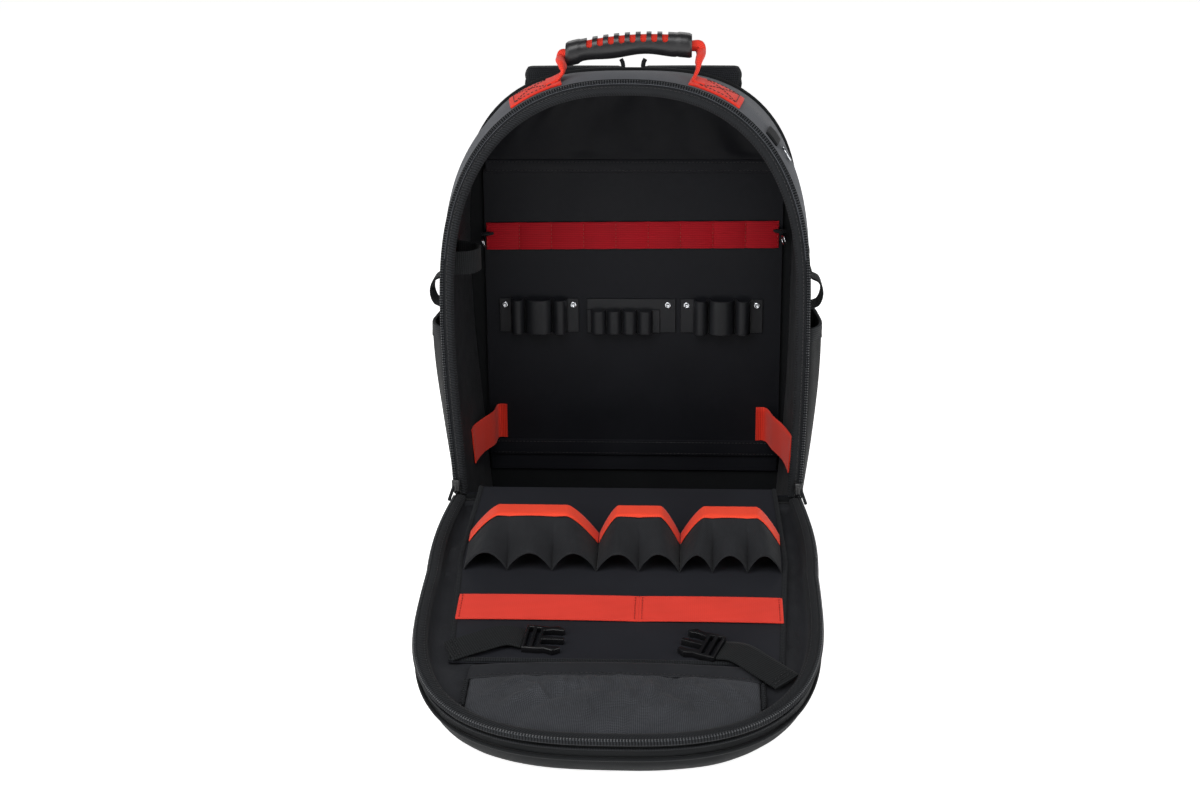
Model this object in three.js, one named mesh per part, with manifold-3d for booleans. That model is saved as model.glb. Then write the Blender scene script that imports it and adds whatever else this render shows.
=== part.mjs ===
// Tool backpack, open: the body stands and its lid lies folded down in front of it.
// Millimetres, +Z up, +X to the right, -Y to the front. The origin is the centre of the flat underside.
import * as THREE from 'three';
import { mergeVertices } from 'three/addons/utils/BufferGeometryUtils.js';
import Module from 'manifold-3d';

const wasm = await Module();
wasm.setup();

// Gap kept between pieces that touch
const gap = 0.3;

// Opening: an arch in a plane that leans back, hinged along its straight lower edge
const hingeHeight = 104;
const hingeWidth = 346;
const openingWidth = 364;
const openingSway = -3;
const openingHeight = 413;
const widestHeight = 196;
const openingLean = THREE.MathUtils.degToRad(8);
const openingSquareness = 2.4;

// Body: walls from the opening back to the back panel
const baseDepth = 225;
const baseWidth = 338;
const baseHeight = 32;
const baseWall = 4;
const bodyWall = 5;
const bodyBeyondZip = 2;
const backThickness = 6;
const backNarrowing = 0.95;
const backDrop = 18;
const backSquareness = 3;
const topBulge = 9;
const sideBulge = 4;
const bulgeKnee = 0.35;
const seamHeight = 236;

// Lid: the same arch, drawn squarer and a little shorter, folded down and sloping to the floor
const lidSlope = THREE.MathUtils.degToRad(9.5);
const lidSquareness = 2.8;
const lidShortening = 0.973;
const lidNearSpread = 0.022;
const lidNearReach = 150;
const lidFarSpread = 0.004;
const lidWall = 3.5;
const lidRecess = 10;
const liningThickness = 2.5;
const rimWidth = 12;
const rimRise = 2;
const rimDrop = 4;
const lidCornerRadius = 28;

// Edge trims of the opening
const facingWidth = 6;
const facingTopWidth = 7.5;
const facingThickness = 3;
const zipInside = 2.5;
const zipOutside = 2.5;
const zipThickness = 3;

// Fittings sewn from webbing, elastic and sheet
const webbing = 25;
const webbingThickness = 2;
const elasticThickness = 1.5;
const boardThickness = 3;
const boardWidth = 322;
const boardBottom = 60;
const boardTop = 402;

// The share of the half arch's parameter that covers the part below its widest height
const lowShare = 0.4;

const halfTurn = Math.PI;
const hingeY = -baseDepth / 2 + hingeHeight * Math.tan(openingLean);
const backFront = baseDepth / 2 - backThickness;
const frontRise = openingHeight * Math.cos(openingLean);
const backShare = (frontRise - backDrop) / frontRise;
const hingeDrop = hingeHeight / Math.cos(openingLean);

const vector = (x, y, z) => new THREE.Vector3(x, y, z);
const mix = (a, b, share) => a + (b - a) * share;
const between = (value, low, high) => Math.min(high, Math.max(low, value));
const smooth = (share) => share * share * (3 - 2 * share);

// The body sways a little to its left above the hinge.
const swayAt = (h) => openingSway * smooth(between(h / widestHeight, 0, 1));

// A point of the opening's leaning plane: across, up along it from the hinge, and behind it.
function openingPoint(x, h, behind = 0) {
  return vector(
    x + swayAt(h),
    hingeY + h * Math.sin(openingLean) + behind * Math.cos(openingLean),
    hingeHeight + h * Math.cos(openingLean) - behind * Math.sin(openingLean),
  );
}

// A point of the lid: across, out along it from the hinge, and above the plane of its rim.
function lidPoint(x, reach, above = 0) {
  return vector(
    x,
    hingeY - reach * Math.cos(lidSlope) - above * Math.sin(lidSlope),
    hingeHeight - reach * Math.sin(lidSlope) + above * Math.cos(lidSlope),
  );
}

// The right half of the arch. Its share runs from 0 at the hinge to 1 at the top, and below 0 to the base.
function halfArch(share, squareness) {
  if (share < lowShare) {
    const h = (share / lowShare) * widestHeight;
    if (h < 0) return { x: hingeWidth / 2 + ((hingeWidth - baseWidth) / 2) * (h / hingeDrop), h };
    const swell = Math.sin((h / widestHeight) * (halfTurn / 2));
    return { x: mix(hingeWidth, openingWidth, swell) / 2, h };
  }
  const angle = (Math.min(1, (share - lowShare) / (1 - lowShare)) * halfTurn) / 2;
  return {
    x: (openingWidth / 2) * Math.max(0, Math.cos(angle)) ** (2 / squareness),
    h: widestHeight + (openingHeight - widestHeight) * Math.sin(angle) ** (2 / squareness),
  };
}

// The arch's share at a height above the hinge.
function shareAt(h) {
  if (h < widestHeight) return (h / widestHeight) * lowShare;
  const rise = (h - widestHeight) / (openingHeight - widestHeight);
  const angle = Math.asin(Math.min(1, rise) ** (openingSquareness / 2));
  return lowShare + ((1 - lowShare) * angle) / (halfTurn / 2);
}

// The whole arch: t runs from 0 at the left hinge end over the top to 1 at the right one, grown outward.
function archPoint(t, grow = 0, squareness = openingSquareness) {
  const share = 1 - Math.abs(2 * t - 1);
  const side = t < 0.5 ? -1 : 1;
  const here = halfArch(share, squareness);
  const before = halfArch(share - 1e-3, squareness);
  const after = halfArch(Math.min(1, share + 1e-3), squareness);
  const length = Math.hypot(after.x - before.x, after.h - before.h);
  return {
    x: side * (here.x + (grow * (after.h - before.h)) / length),
    h: here.h - (grow * (after.x - before.x)) / length,
  };
}

const sideT = (side, h) => (side < 0 ? shareAt(h) / 2 : 1 - shareAt(h) / 2);

// Half the arch's width at a height above the hinge, grown outward.
function halfWidthAt(h, grow, squareness = openingSquareness) {
  if (h < 0) return hingeWidth / 2 + ((hingeWidth - baseWidth) / 2) * (h / hingeDrop) + grow;
  if (h < widestHeight) {
    const swell = Math.sin((h / widestHeight) * (halfTurn / 2));
    return mix(hingeWidth, openingWidth, swell) / 2 + grow;
  }
  const rise = between((h - widestHeight) / (openingHeight - widestHeight + grow), 0, 1);
  return (openingWidth / 2 + grow) * (1 - rise ** squareness) ** (1 / squareness);
}

// The lid's edge: the arch with its sides spread near the hinge, drawn in further out, and shortened.
const lidSpread = (h) => (
  1 + lidNearSpread * Math.sin(halfTurn * between(h / lidNearReach, 0, 1))
    + lidFarSpread * between(h / lidNearReach, 0, 1)
);
function lidArch(t, grow) {
  const edge = archPoint(t, grow, lidSquareness);
  return { x: edge.x * lidSpread(edge.h), h: edge.h * lidShortening };
}
function lidHalf(reach, grow) {
  const h = reach / lidShortening;
  return halfWidthAt(h, grow, lidSquareness) * lidSpread(h);
}

// A point of the body's wall: t round the arch, v from the opening to the back panel, and out past its face.
function bodyPoint(t, v, out = 0) {
  const share = 1 - Math.abs(2 * t - 1);
  const shoulder = smooth(between((share - 0.35) / 0.3, 0, 1));
  const footFade = between(1 + share / 0.2, 0, 1);
  const swell = mix(sideBulge, topBulge, shoulder) * footFade;
  const grow = bodyBeyondZip + out + swell * Math.sin((halfTurn / 2) * between(v / bulgeKnee, 0, 1));
  const front = archPoint(t, grow);
  const back = archPoint(t, grow, backSquareness);
  const rise = back.h * Math.cos(openingLean) * (back.h > 0 ? backShare : 1);
  const start = openingPoint(front.x, front.h);
  const end = vector(back.x * backNarrowing + swayAt(back.h), backFront, hingeHeight + rise);
  return start.lerp(end, v);
}

// Half the room inside the body at the back, at a height above the floor.
function backRoom(z) {
  const h = (z - hingeHeight) / Math.cos(openingLean) / backShare;
  return halfWidthAt(h, bodyBeyondZip + sideBulge - bodyWall - 1, backSquareness) * backNarrowing;
}

// Turns loose positions and triangles into a closed geometry whose faces point out.
function closedGeometry(positions, triangles) {
  let volume = 0;
  const corner = [vector(), vector(), vector()];
  for (let i = 0; i < triangles.length; i += 3) {
    corner.forEach((point, k) => point.fromArray(positions, triangles[i + k] * 3));
    volume += corner[0].dot(corner[1].clone().cross(corner[2]));
  }
  if (volume < 0) {
    for (let i = 0; i < triangles.length; i += 3) {
      [triangles[i], triangles[i + 1]] = [triangles[i + 1], triangles[i]];
    }
  }
  const geometry = new THREE.BufferGeometry();
  geometry.setAttribute('position', new THREE.Float32BufferAttribute(positions, 3));
  geometry.setIndex(triangles);
  return geometry;
}

// A closed solid: map(u, v, w) sends the unit cube into space, and its six faces are meshed nu by nv by nw.
function blockSolid(map, nu, nv, nw = 1) {
  const known = new Map();
  const positions = [];
  const triangles = [];
  const corner = (i, j, k) => {
    const key = `${i} ${j} ${k}`;
    if (!known.has(key)) {
      known.set(key, positions.length / 3);
      positions.push(...map(i / nu, j / nv, k / nw).toArray());
    }
    return known.get(key);
  };
  const face = (rows, columns, place) => {
    for (let a = 0; a < rows; a += 1) {
      for (let b = 0; b < columns; b += 1) {
        const quad = [place(a, b), place(a + 1, b), place(a + 1, b + 1), place(a, b + 1)];
        triangles.push(quad[0], quad[1], quad[2], quad[0], quad[2], quad[3]);
      }
    }
  };
  face(nu, nv, (a, b) => corner(a, b, nw));
  face(nv, nu, (a, b) => corner(b, a, 0));
  face(nu, nw, (a, b) => corner(a, 0, b));
  face(nw, nu, (a, b) => corner(b, nv, a));
  face(nv, nw, (a, b) => corner(nu, a, b));
  face(nw, nv, (a, b) => corner(0, b, a));
  return closedGeometry(positions, triangles);
}

// A closed solid through loops of as many points each, with a fan on the first and the last loop.
function loftSolid(loops) {
  const count = loops[0].length;
  const positions = loops.flat().flatMap((point) => point.toArray());
  const triangles = [];
  for (let row = 0; row + 1 < loops.length; row += 1) {
    for (let k = 0; k < count; k += 1) {
      const next = (k + 1) % count;
      const [a, b] = [row * count + k, row * count + next];
      triangles.push(a, b, b + count, a, b + count, a + count);
    }
  }
  const cap = (row, flip) => {
    const centre = vector();
    loops[row].forEach((point) => centre.add(point));
    centre.divideScalar(count);
    const middle = positions.length / 3;
    positions.push(...centre.toArray());
    for (let k = 0; k < count; k += 1) {
      const edge = [row * count + k, row * count + ((k + 1) % count)];
      if (flip) edge.reverse();
      triangles.push(edge[0], edge[1], middle);
    }
  };
  cap(0, true);
  cap(loops.length - 1, false);
  return closedGeometry(positions, triangles);
}

// A strap through stations, each with its place, side direction, width and thickness.
function strapSolid(stations, steps) {
  const curve = new THREE.CatmullRomCurve3(stations.map((station) => station.place), false, 'centripetal');
  const at = (u) => {
    const index = between(u * (stations.length - 1), 0, stations.length - 1);
    const low = Math.min(stations.length - 2, Math.floor(index));
    const share = index - low;
    const [a, b] = [stations[low], stations[low + 1]];
    const along = curve.getPoint(Math.min(1, u + 1e-3)).sub(curve.getPoint(Math.max(0, u - 1e-3)));
    const side = a.side.clone().lerp(b.side, share);
    side.addScaledVector(along, -side.dot(along) / along.lengthSq()).normalize();
    return {
      place: curve.getPoint(u),
      side,
      normal: side.clone().cross(along).normalize(),
      width: mix(a.width, b.width, share),
      thickness: mix(a.thickness, b.thickness, share),
    };
  };
  return blockSolid((u, v, w) => {
    const here = at(u);
    here.place.addScaledVector(here.side, (v - 0.5) * here.width);
    return here.place.addScaledVector(here.normal, (w - 0.5) * here.thickness);
  }, steps, 1);
}

// Booleans on closed geometries
function toManifold(geometry) {
  const bare = geometry.clone();
  bare.deleteAttribute('normal');
  bare.deleteAttribute('uv');
  const merged = mergeVertices(bare, 1e-4);
  return new wasm.Manifold(new wasm.Mesh({
    numProp: 3,
    vertProperties: new Float32Array(merged.attributes.position.array),
    triVerts: new Uint32Array(merged.index.array),
  }));
}

function fromManifold(solid) {
  const mesh = solid.getMesh();
  return closedGeometry(Array.from(mesh.vertProperties), Array.from(mesh.triVerts));
}

const cutBy = (geometry, cutters) => fromManifold(
  cutters.reduce((left, cutter) => left.subtract(toManifold(cutter)), toManifold(geometry)),
);
const joined = (parts) => fromManifold(
  parts.slice(1).reduce((sum, part) => sum.add(toManifold(part)), toManifold(parts[0])),
);

const materials = {
  blackCloth: new THREE.MeshStandardMaterial({ color: '#17181b', roughness: 0.85, metalness: 0 }),
  greyCloth: new THREE.MeshStandardMaterial({ color: '#4a4d52', roughness: 0.8, metalness: 0 }),
  redWebbing: new THREE.MeshStandardMaterial({ color: '#e23c2e', roughness: 0.7, metalness: 0 }),
  blackRubber: new THREE.MeshStandardMaterial({ color: '#1d1e20', roughness: 0.6, metalness: 0 }),
  blackPlastic: new THREE.MeshStandardMaterial({ color: '#141416', roughness: 0.45, metalness: 0 }),
  steel: new THREE.MeshStandardMaterial({ color: '#b9bcc0', roughness: 0.35, metalness: 1 }),
};

const backpack = new THREE.Group();
function add(name, geometry, material) {
  geometry.computeVertexNormals();
  const mesh = new THREE.Mesh(geometry, material);
  mesh.name = name;
  backpack.add(mesh);
}

// Base: a moulded tray whose plan follows the walls that stand on it
const footT = (z) => shareAt(-(hingeHeight - z) / Math.cos(openingLean)) / 2;
const baseCornerRadius = 10;
const baseCornerSteps = 4;
function baseLoop(z, inset) {
  const left = bodyPoint(footT(z), 0, -inset);
  const back = bodyPoint(footT(z), 1, -inset);
  const front = -baseDepth / 2 + z * Math.tan(openingLean) + inset;
  const rear = baseDepth / 2 - inset;
  const corners = [[left.x, front], [-left.x, front], [-back.x, rear], [back.x, rear]];
  const radius = Math.max(2, baseCornerRadius - inset);
  const loop = [];
  corners.forEach(([x, y], k) => {
    const centre = { x: x - Math.sign(x) * radius, y: y + (k < 2 ? radius : -radius) };
    const start = halfTurn * (1 + k / 2);
    for (let step = 0; step <= baseCornerSteps; step += 1) {
      const angle = start + (step / baseCornerSteps) * (halfTurn / 2);
      loop.push(vector(centre.x + radius * Math.cos(angle), centre.y + radius * Math.sin(angle), z));
    }
  });
  return loop;
}
const baseEdge = 5;
add('base', loftSolid([
  baseLoop(0, baseEdge),
  baseLoop(baseEdge, 0),
  baseLoop(baseHeight, 0),
  baseLoop(baseHeight, baseWall),
  baseLoop(baseWall, baseWall),
]), materials.blackRubber);

// Front sill: the low front wall under the opening
const wallFoot = baseHeight + gap;
const footH = -(hingeHeight - wallFoot) / Math.cos(openingLean);
add('front_sill', blockSolid((u, v, w) => {
  const h = mix(footH, -gap, v);
  const behind = w * bodyWall;
  const foot = v === 0 ? behind * Math.tan(openingLean) : 0;
  return openingPoint((2 * u - 1) * (halfWidthAt(h, bodyBeyondZip - bodyWall) - 2 * gap), h + foot, behind);
}, 2, 2), materials.blackCloth);

// Side panels and the grey gusset that joins them over the top
const wallEnd = 1 - gap / (backFront - hingeY);
const wallAt = (t, v, w) => bodyPoint(t, v * wallEnd, (w - 1) * bodyWall);
const footShare = footT(wallFoot);
const seamShare = shareAt(seamHeight) / 2;
const sideSteps = 10;
const depthSteps = 4;
const topSteps = 24;
add('side_panel_left', blockSolid(
  (u, v, w) => wallAt(mix(footShare, seamShare, u), v, w), sideSteps, depthSteps,
), materials.blackCloth);
add('side_panel_right', blockSolid(
  (u, v, w) => wallAt(1 - mix(footShare, seamShare, u), v, w), sideSteps, depthSteps,
), materials.blackCloth);
const archLength = 2.2 * openingHeight;
const seamGap = gap / archLength;
add('top_gusset', blockSolid(
  (u, v, w) => wallAt(mix(seamShare + seamGap, 1 - seamShare - seamGap, u), v, w), topSteps, depthSteps,
), materials.greyCloth);

// Back panel: a padded plate that closes the walls
const backSteps = 36;
function backLoop(y, inset) {
  const loop = [];
  for (let k = 0; k <= backSteps; k += 1) {
    const point = bodyPoint(mix(footShare, 1 - footShare, k / backSteps), 1, -inset);
    loop.push(vector(point.x, y, Math.max(wallFoot, point.z)));
  }
  return loop;
}
add('back_panel', loftSolid([
  backLoop(backFront, 0),
  backLoop(baseDepth / 2 - 2, 0),
  backLoop(baseDepth / 2, 2),
]), materials.blackCloth);

// Facing and zip round the opening
const archSteps = 36;
const trimStart = shareAt(gap) / 2;
const trimT = (u) => mix(trimStart, 1 - trimStart, u);
add('opening_facing', blockSolid((u, v, w) => {
  const share = 1 - Math.abs(2 * trimT(u) - 1);
  const width = mix(facingWidth, facingTopWidth, smooth(between((share - 0.45) / 0.4, 0, 1)));
  const edge = archPoint(trimT(u), mix(-zipInside - gap - width, -zipInside - gap, v));
  return openingPoint(edge.x, Math.max(gap, edge.h), -gap - w * facingThickness);
}, archSteps, 1), materials.blackCloth);
add('body_zip', blockSolid((u, v, w) => {
  const edge = archPoint(trimT(u), mix(-zipInside, zipOutside, v));
  return openingPoint(edge.x, Math.max(gap, edge.h), -gap - w * zipThickness);
}, archSteps, 1), materials.blackPlastic);

// Zip sliders at the two ends, each with a pull that hangs past the corner
const sliderWidth = 9;
const sliderLength = 13;
const sliderThickness = 5;
const sliderStart = 3;
const pullTop = 9;
const pullLength = 14;
const pullWidth = 5;
const pullThickness = 2;
const pullSwing = 5;
for (const side of [-1, 1]) {
  const front = -zipThickness - 2 * gap;
  const x = side * (hingeWidth / 2 + 0.5);
  const body = blockSolid((u, v, w) => openingPoint(
    x + side * (u - 0.5) * sliderWidth, sliderStart + v * sliderLength, front - w * sliderThickness,
  ), 1, 1);
  const pull = blockSolid((u, v, w) => openingPoint(
    x + side * (2 + v * pullSwing + (u - 0.5) * pullWidth),
    pullTop - v * pullLength,
    front - (1 + w) * pullThickness,
  ), 1, 1);
  add(side < 0 ? 'zip_slider_left' : 'zip_slider_right', joined([body, pull]), materials.blackPlastic);
}

// Lining gathered above the tool board, on the back panel
const boardBack = backFront - gap;
const boardFront = boardBack - boardThickness - gap;
const topBandBottom = 398;
const topBandHeight = 13;
const ceiling = hingeHeight + frontRise - backDrop - bodyWall - 6;
const foldDepth = 1.5;
add('upper_lining', blockSolid((u, v, w) => {
  const z = mix(topBandBottom + topBandHeight + gap, ceiling, v);
  const fold = foldDepth + foldDepth * Math.sin(u * 23 + 2 * Math.sin(v * 4)) * Math.sin(halfTurn * v);
  const thickness = w * (liningThickness + fold * Math.sin(halfTurn * between(v, 0.02, 0.98)));
  return vector(openingSway + (2 * u - 1) * (backRoom(z) - 2), boardBack - thickness, z);
}, 18, 4), materials.blackCloth);

// Stiff tool board with its bands
const boardHalf = (z) => Math.min(boardWidth / 2, backRoom(z) - 3);
const onBoard = (low, high, front, thickness, half) => (u, v, w) => {
  const z = mix(low, high, v);
  return vector((2 * u - 1) * Math.min(half, boardHalf(z)), front - w * thickness, z);
};
add('tool_board', blockSolid(
  onBoard(boardBottom, boardTop, boardBack, boardThickness, boardWidth / 2), 2, 10,
), materials.blackCloth);
const foldThickness = 2.5;
const bottomBandBottom = 78;
const bottomBandTop = 95;
add('board_top_band', blockSolid(
  onBoard(topBandBottom, topBandBottom + topBandHeight, boardFront, foldThickness, boardWidth / 2 - 3), 2, 2,
), materials.blackCloth);
add('board_bottom_band', blockSolid(
  onBoard(bottomBandBottom, bottomBandTop, boardFront, foldThickness, boardWidth / 2), 2, 2,
), materials.blackCloth);
const redBandWidth = 29;
const redBandBottom = 313;
const redBandTilt = 3;
const redBandFrom = -159;
const redBandTo = 157;
const redBandLoops = 9;
const redBandLift = 1.5;
add('red_tool_band', blockSolid((u, v, w) => {
  const lift = redBandLift * Math.abs(Math.sin(halfTurn * u * redBandLoops));
  const z = redBandBottom + redBandTilt * u + v * redBandWidth;
  return vector(mix(redBandFrom, redBandTo, u), boardFront - w * elasticThickness - lift, z);
}, 3 * redBandLoops, 1), materials.redWebbing);

// Rubber tool loops: a strip that stands off the board in a row of arches
const loopThickness = 1.8;
const archCut = 6;
function loopStrip(from, to, arches, depth, back, low, high) {
  const front = back - loopThickness;
  const shape = new THREE.Shape();
  shape.moveTo(from, back);
  for (const [start, end] of arches) {
    for (let k = 0; k <= archCut; k += 1) {
      const angle = (halfTurn * k) / archCut;
      const reach = (end - start) / 2 - loopThickness;
      const inner = back - (depth - loopThickness) * Math.sin(angle);
      shape.lineTo((start + end) / 2 - reach * Math.cos(angle), inner);
    }
  }
  shape.lineTo(to, back);
  shape.lineTo(to, front);
  for (const [start, end] of [...arches].reverse()) {
    for (let k = archCut; k >= 0; k -= 1) {
      const angle = (halfTurn * k) / archCut;
      const outer = back - depth * Math.sin(angle);
      shape.lineTo((start + end) / 2 - ((end - start) / 2) * Math.cos(angle), Math.min(front, outer));
    }
  }
  shape.lineTo(from, front);
  const geometry = new THREE.ExtrudeGeometry(shape, { depth: high - low, bevelEnabled: false });
  return geometry.translate(0, 0, low);
}
const loopBack = boardFront;
const loopLow = 221;
const loopHigh = 258;
const loopDepth = 15;
add('tool_loops_left', loopStrip(
  -146, -60, [[-134, -119], [-118.5, -88.5], [-88, -72]], loopDepth, loopBack, loopLow, loopHigh,
), materials.blackRubber);
add('tool_loops_right', loopStrip(
  52, 141, [[66, 82], [82.5, 111], [111.5, 128]], loopDepth, loopBack, loopLow, loopHigh,
), materials.blackRubber);
add('tool_loops_middle_rear', loopStrip(-50, 46, [], 0, loopBack, loopLow, loopHigh), materials.blackRubber);
const smallLoop = 16.5;
const smallLoopDepth = 11;
const smallLoopHeight = 25;
const smallLoopStarts = [0, 1, 2, 3].map((k) => -46 + k * (smallLoop + 0.5));
add('tool_loops_middle_front', loopStrip(
  -50, 29, smallLoopStarts.map((start) => [start, start + smallLoop]),
  smallLoopDepth, loopBack - loopThickness - gap, loopLow, loopLow + smallLoopHeight,
), materials.blackRubber);

// Red elastic bands across the two rear corners, and a black elastic loop on the left wall
const upright = vector(0, 0, 1);
const across = vector(0, 1, 0);
function wallStation(side, h, v, width, thickness, clear = 0) {
  const inset = -bodyWall - gap - thickness - clear;
  const low = bodyPoint(sideT(side, h - width / 2), v, inset);
  const high = bodyPoint(sideT(side, h + width / 2), v, inset);
  return { place: low.clone().lerp(high, 0.5), side: high.sub(low).normalize(), width, thickness };
}
const station = (x, y, z, side, width, thickness) => ({ place: vector(x, y, z), side, width, thickness });
const sideBandWidth = 39;
function sideBand(side, z, wallShare, bends, boardEnd) {
  const h = (z - hingeHeight) / Math.cos(openingLean);
  const flat = boardFront - elasticThickness;
  return strapSolid([
    wallStation(side, h, wallShare - 0.06, sideBandWidth, elasticThickness),
    wallStation(side, h, wallShare, sideBandWidth, elasticThickness),
    ...bends.map(([x, y]) => station(side * x, y, z, upright, sideBandWidth, elasticThickness)),
    station(side * boardEnd, flat, z, upright, sideBandWidth, elasticThickness),
    station(side * (boardEnd - 9), flat, z, upright, sideBandWidth, elasticThickness),
  ], 18);
}
add('side_band_left', sideBand(-1, 117, 0.6, [[162, 50], [153, 76]], 150), materials.redWebbing);
add('side_band_right', sideBand(1, 115.5, 0.52, [[163, 40], [154, 70]], 145), materials.redWebbing);
const innerLoopHeight = 24;
const innerLoopZ = 330;
const innerLoopH = (innerLoopZ - hingeHeight) / Math.cos(openingLean);
add('inner_loop_left', strapSolid([
  wallStation(-1, innerLoopH, 0.1, innerLoopHeight, elasticThickness, 0.1),
  wallStation(-1, innerLoopH, 0.15, innerLoopHeight, elasticThickness, 1),
  station(-160, -30, innerLoopZ, upright, innerLoopHeight, elasticThickness),
  station(-153, -12, innerLoopZ, upright, innerLoopHeight, elasticThickness),
  station(-160, 8, innerLoopZ, upright, innerLoopHeight, elasticThickness),
  wallStation(-1, innerLoopH, 0.45, innerLoopHeight, elasticThickness, 1),
  wallStation(-1, innerLoopH, 0.5, innerLoopHeight, elasticThickness, 0.1),
], 20), materials.blackCloth);

// Outer side pockets: sheets that stand off the side panels, open at the top
const pocketThickness = 2;
const pocketRise = 12;
const pocketLow = -28;
const pocketHigh = 166;
for (const side of [-1, 1]) {
  add(side < 0 ? 'side_pocket_left' : 'side_pocket_right', blockSolid((u, v, w) => {
    const along = 1 - Math.abs(2 * u - 1) ** 4;
    const upward = 1 - (1 - v) ** 2;
    const out = gap + pocketThickness * w + pocketRise * along * upward;
    return bodyPoint(sideT(side, mix(pocketLow, pocketHigh, v)), mix(0.1, 0.85, u), out);
  }, 10, 5), materials.blackCloth);
}

// Outer side loops: upright webbing that stands off the panels above the pockets
const sideLoopWidth = 30;
for (const side of [-1, 1]) {
  const heights = [[178, 1], [184, 1.5], [189, 10], [199, 13.5], [209, 10], [214, 1.5], [220, 1]];
  add(side < 0 ? 'side_loop_left' : 'side_loop_right', strapSolid(heights.map(([h, out]) => ({
    place: bodyPoint(sideT(side, h), 0.28, gap + out),
    side: across,
    width: sideLoopWidth,
    thickness: webbingThickness,
  })), 20), materials.blackCloth);
}

// A webbing tab and a small ring on the right shoulder
const tabThickness = 2.5;
add('shoulder_tab', blockSolid((u, v, w) => bodyPoint(
  mix(0.648, 0.665, u), mix(0.06, 0.2, v), gap + w * tabThickness,
), 3, 2), materials.blackCloth);
const ringRadius = 7;
const ringWire = 1.1;
const ringT = 0.679;
const ringV = 0.13;
const ring = new THREE.TorusGeometry(ringRadius, ringWire, 6, 16);
const ringPlace = bodyPoint(ringT, ringV, ringWire + 5 * gap);
const ringFace = bodyPoint(ringT, ringV, 10).sub(bodyPoint(ringT, ringV)).normalize();
ring.applyQuaternion(new THREE.Quaternion().setFromUnitVectors(upright, ringFace));
ring.translate(...ringPlace.toArray());
ring.deleteAttribute('normal');
ring.deleteAttribute('uv');
add('shoulder_ring', mergeVertices(ring, 1e-3), materials.steel);

// Handle: a slotted rubber grip round a soft core, held by webbing that is sewn to the gusset
const gripHalf = 63;
const gripRise = 28.5;
const gripCentre = vector(-0.5, 10, hingeHeight + frontRise + gripRise);
const gripTilt = 0.066;
const gripArch = 6;
const gripDepth = 27;
const gripHeight = 24;
const coreHalf = 47;
const coreDepth = 20;
const coreHeight = 18;
const slotCount = 8;
const slotPitch = 10.8;
const slotWidth = 6;
const gripPath = (x) => gripCentre.z + gripTilt * x + gripArch * (1 - (x / gripHalf) ** 2) - gripArch / 2;
function gripLoop(x, depth, height, waves) {
  const loop = [];
  const sides = 12;
  for (let k = 0; k < sides; k += 1) {
    const angle = (2 * halfTurn * (k + 0.5)) / sides;
    const ripple = waves * Math.sin(((x + gripHalf) / gripHalf) * 2 * halfTurn);
    const wave = Math.sin(angle) < 0 ? ripple : 0;
    loop.push(vector(
      gripCentre.x + x,
      gripCentre.y + (depth / 2) * Math.sign(Math.cos(angle)) * Math.abs(Math.cos(angle)) ** 0.8,
      gripPath(x) + (height / 2) * Math.sign(Math.sin(angle)) * Math.abs(Math.sin(angle)) ** 0.8 + wave,
    ));
  }
  return loop;
}
function gripLoft(half, depth, height, waves, steps) {
  const loops = [];
  for (let k = 0; k <= steps; k += 1) loops.push(gripLoop(mix(-half, half, k / steps), depth, height, waves));
  return loftSolid(loops);
}
const strapDepth = 15;
const strapHeight = 6;
const slots = [];
for (let k = 0; k < slotCount; k += 1) {
  const x = (k - (slotCount - 1) / 2) * slotPitch - 1.5;
  slots.push(blockSolid((u, v, w) => vector(
    gripCentre.x + x + (u - 0.5) * slotWidth,
    gripCentre.y + (v - 0.5) * (gripDepth + 4),
    gripPath(x) + mix(2.5, gripHeight, w),
  ), 1, 1));
}
add('handle_grip', cutBy(gripLoft(gripHalf, gripDepth, gripHeight, 0.9, 12), [
  gripLoft(coreHalf + gap, coreDepth + 2 * gap, coreHeight + 2 * gap, 0, 6),
  gripLoft(gripHalf + 5, strapDepth + 5, strapHeight + 6, 0, 6),
  ...slots,
]), materials.blackRubber);
add('handle_core', gripLoft(coreHalf, coreDepth, coreHeight, 0, 6), materials.redWebbing);

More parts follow.
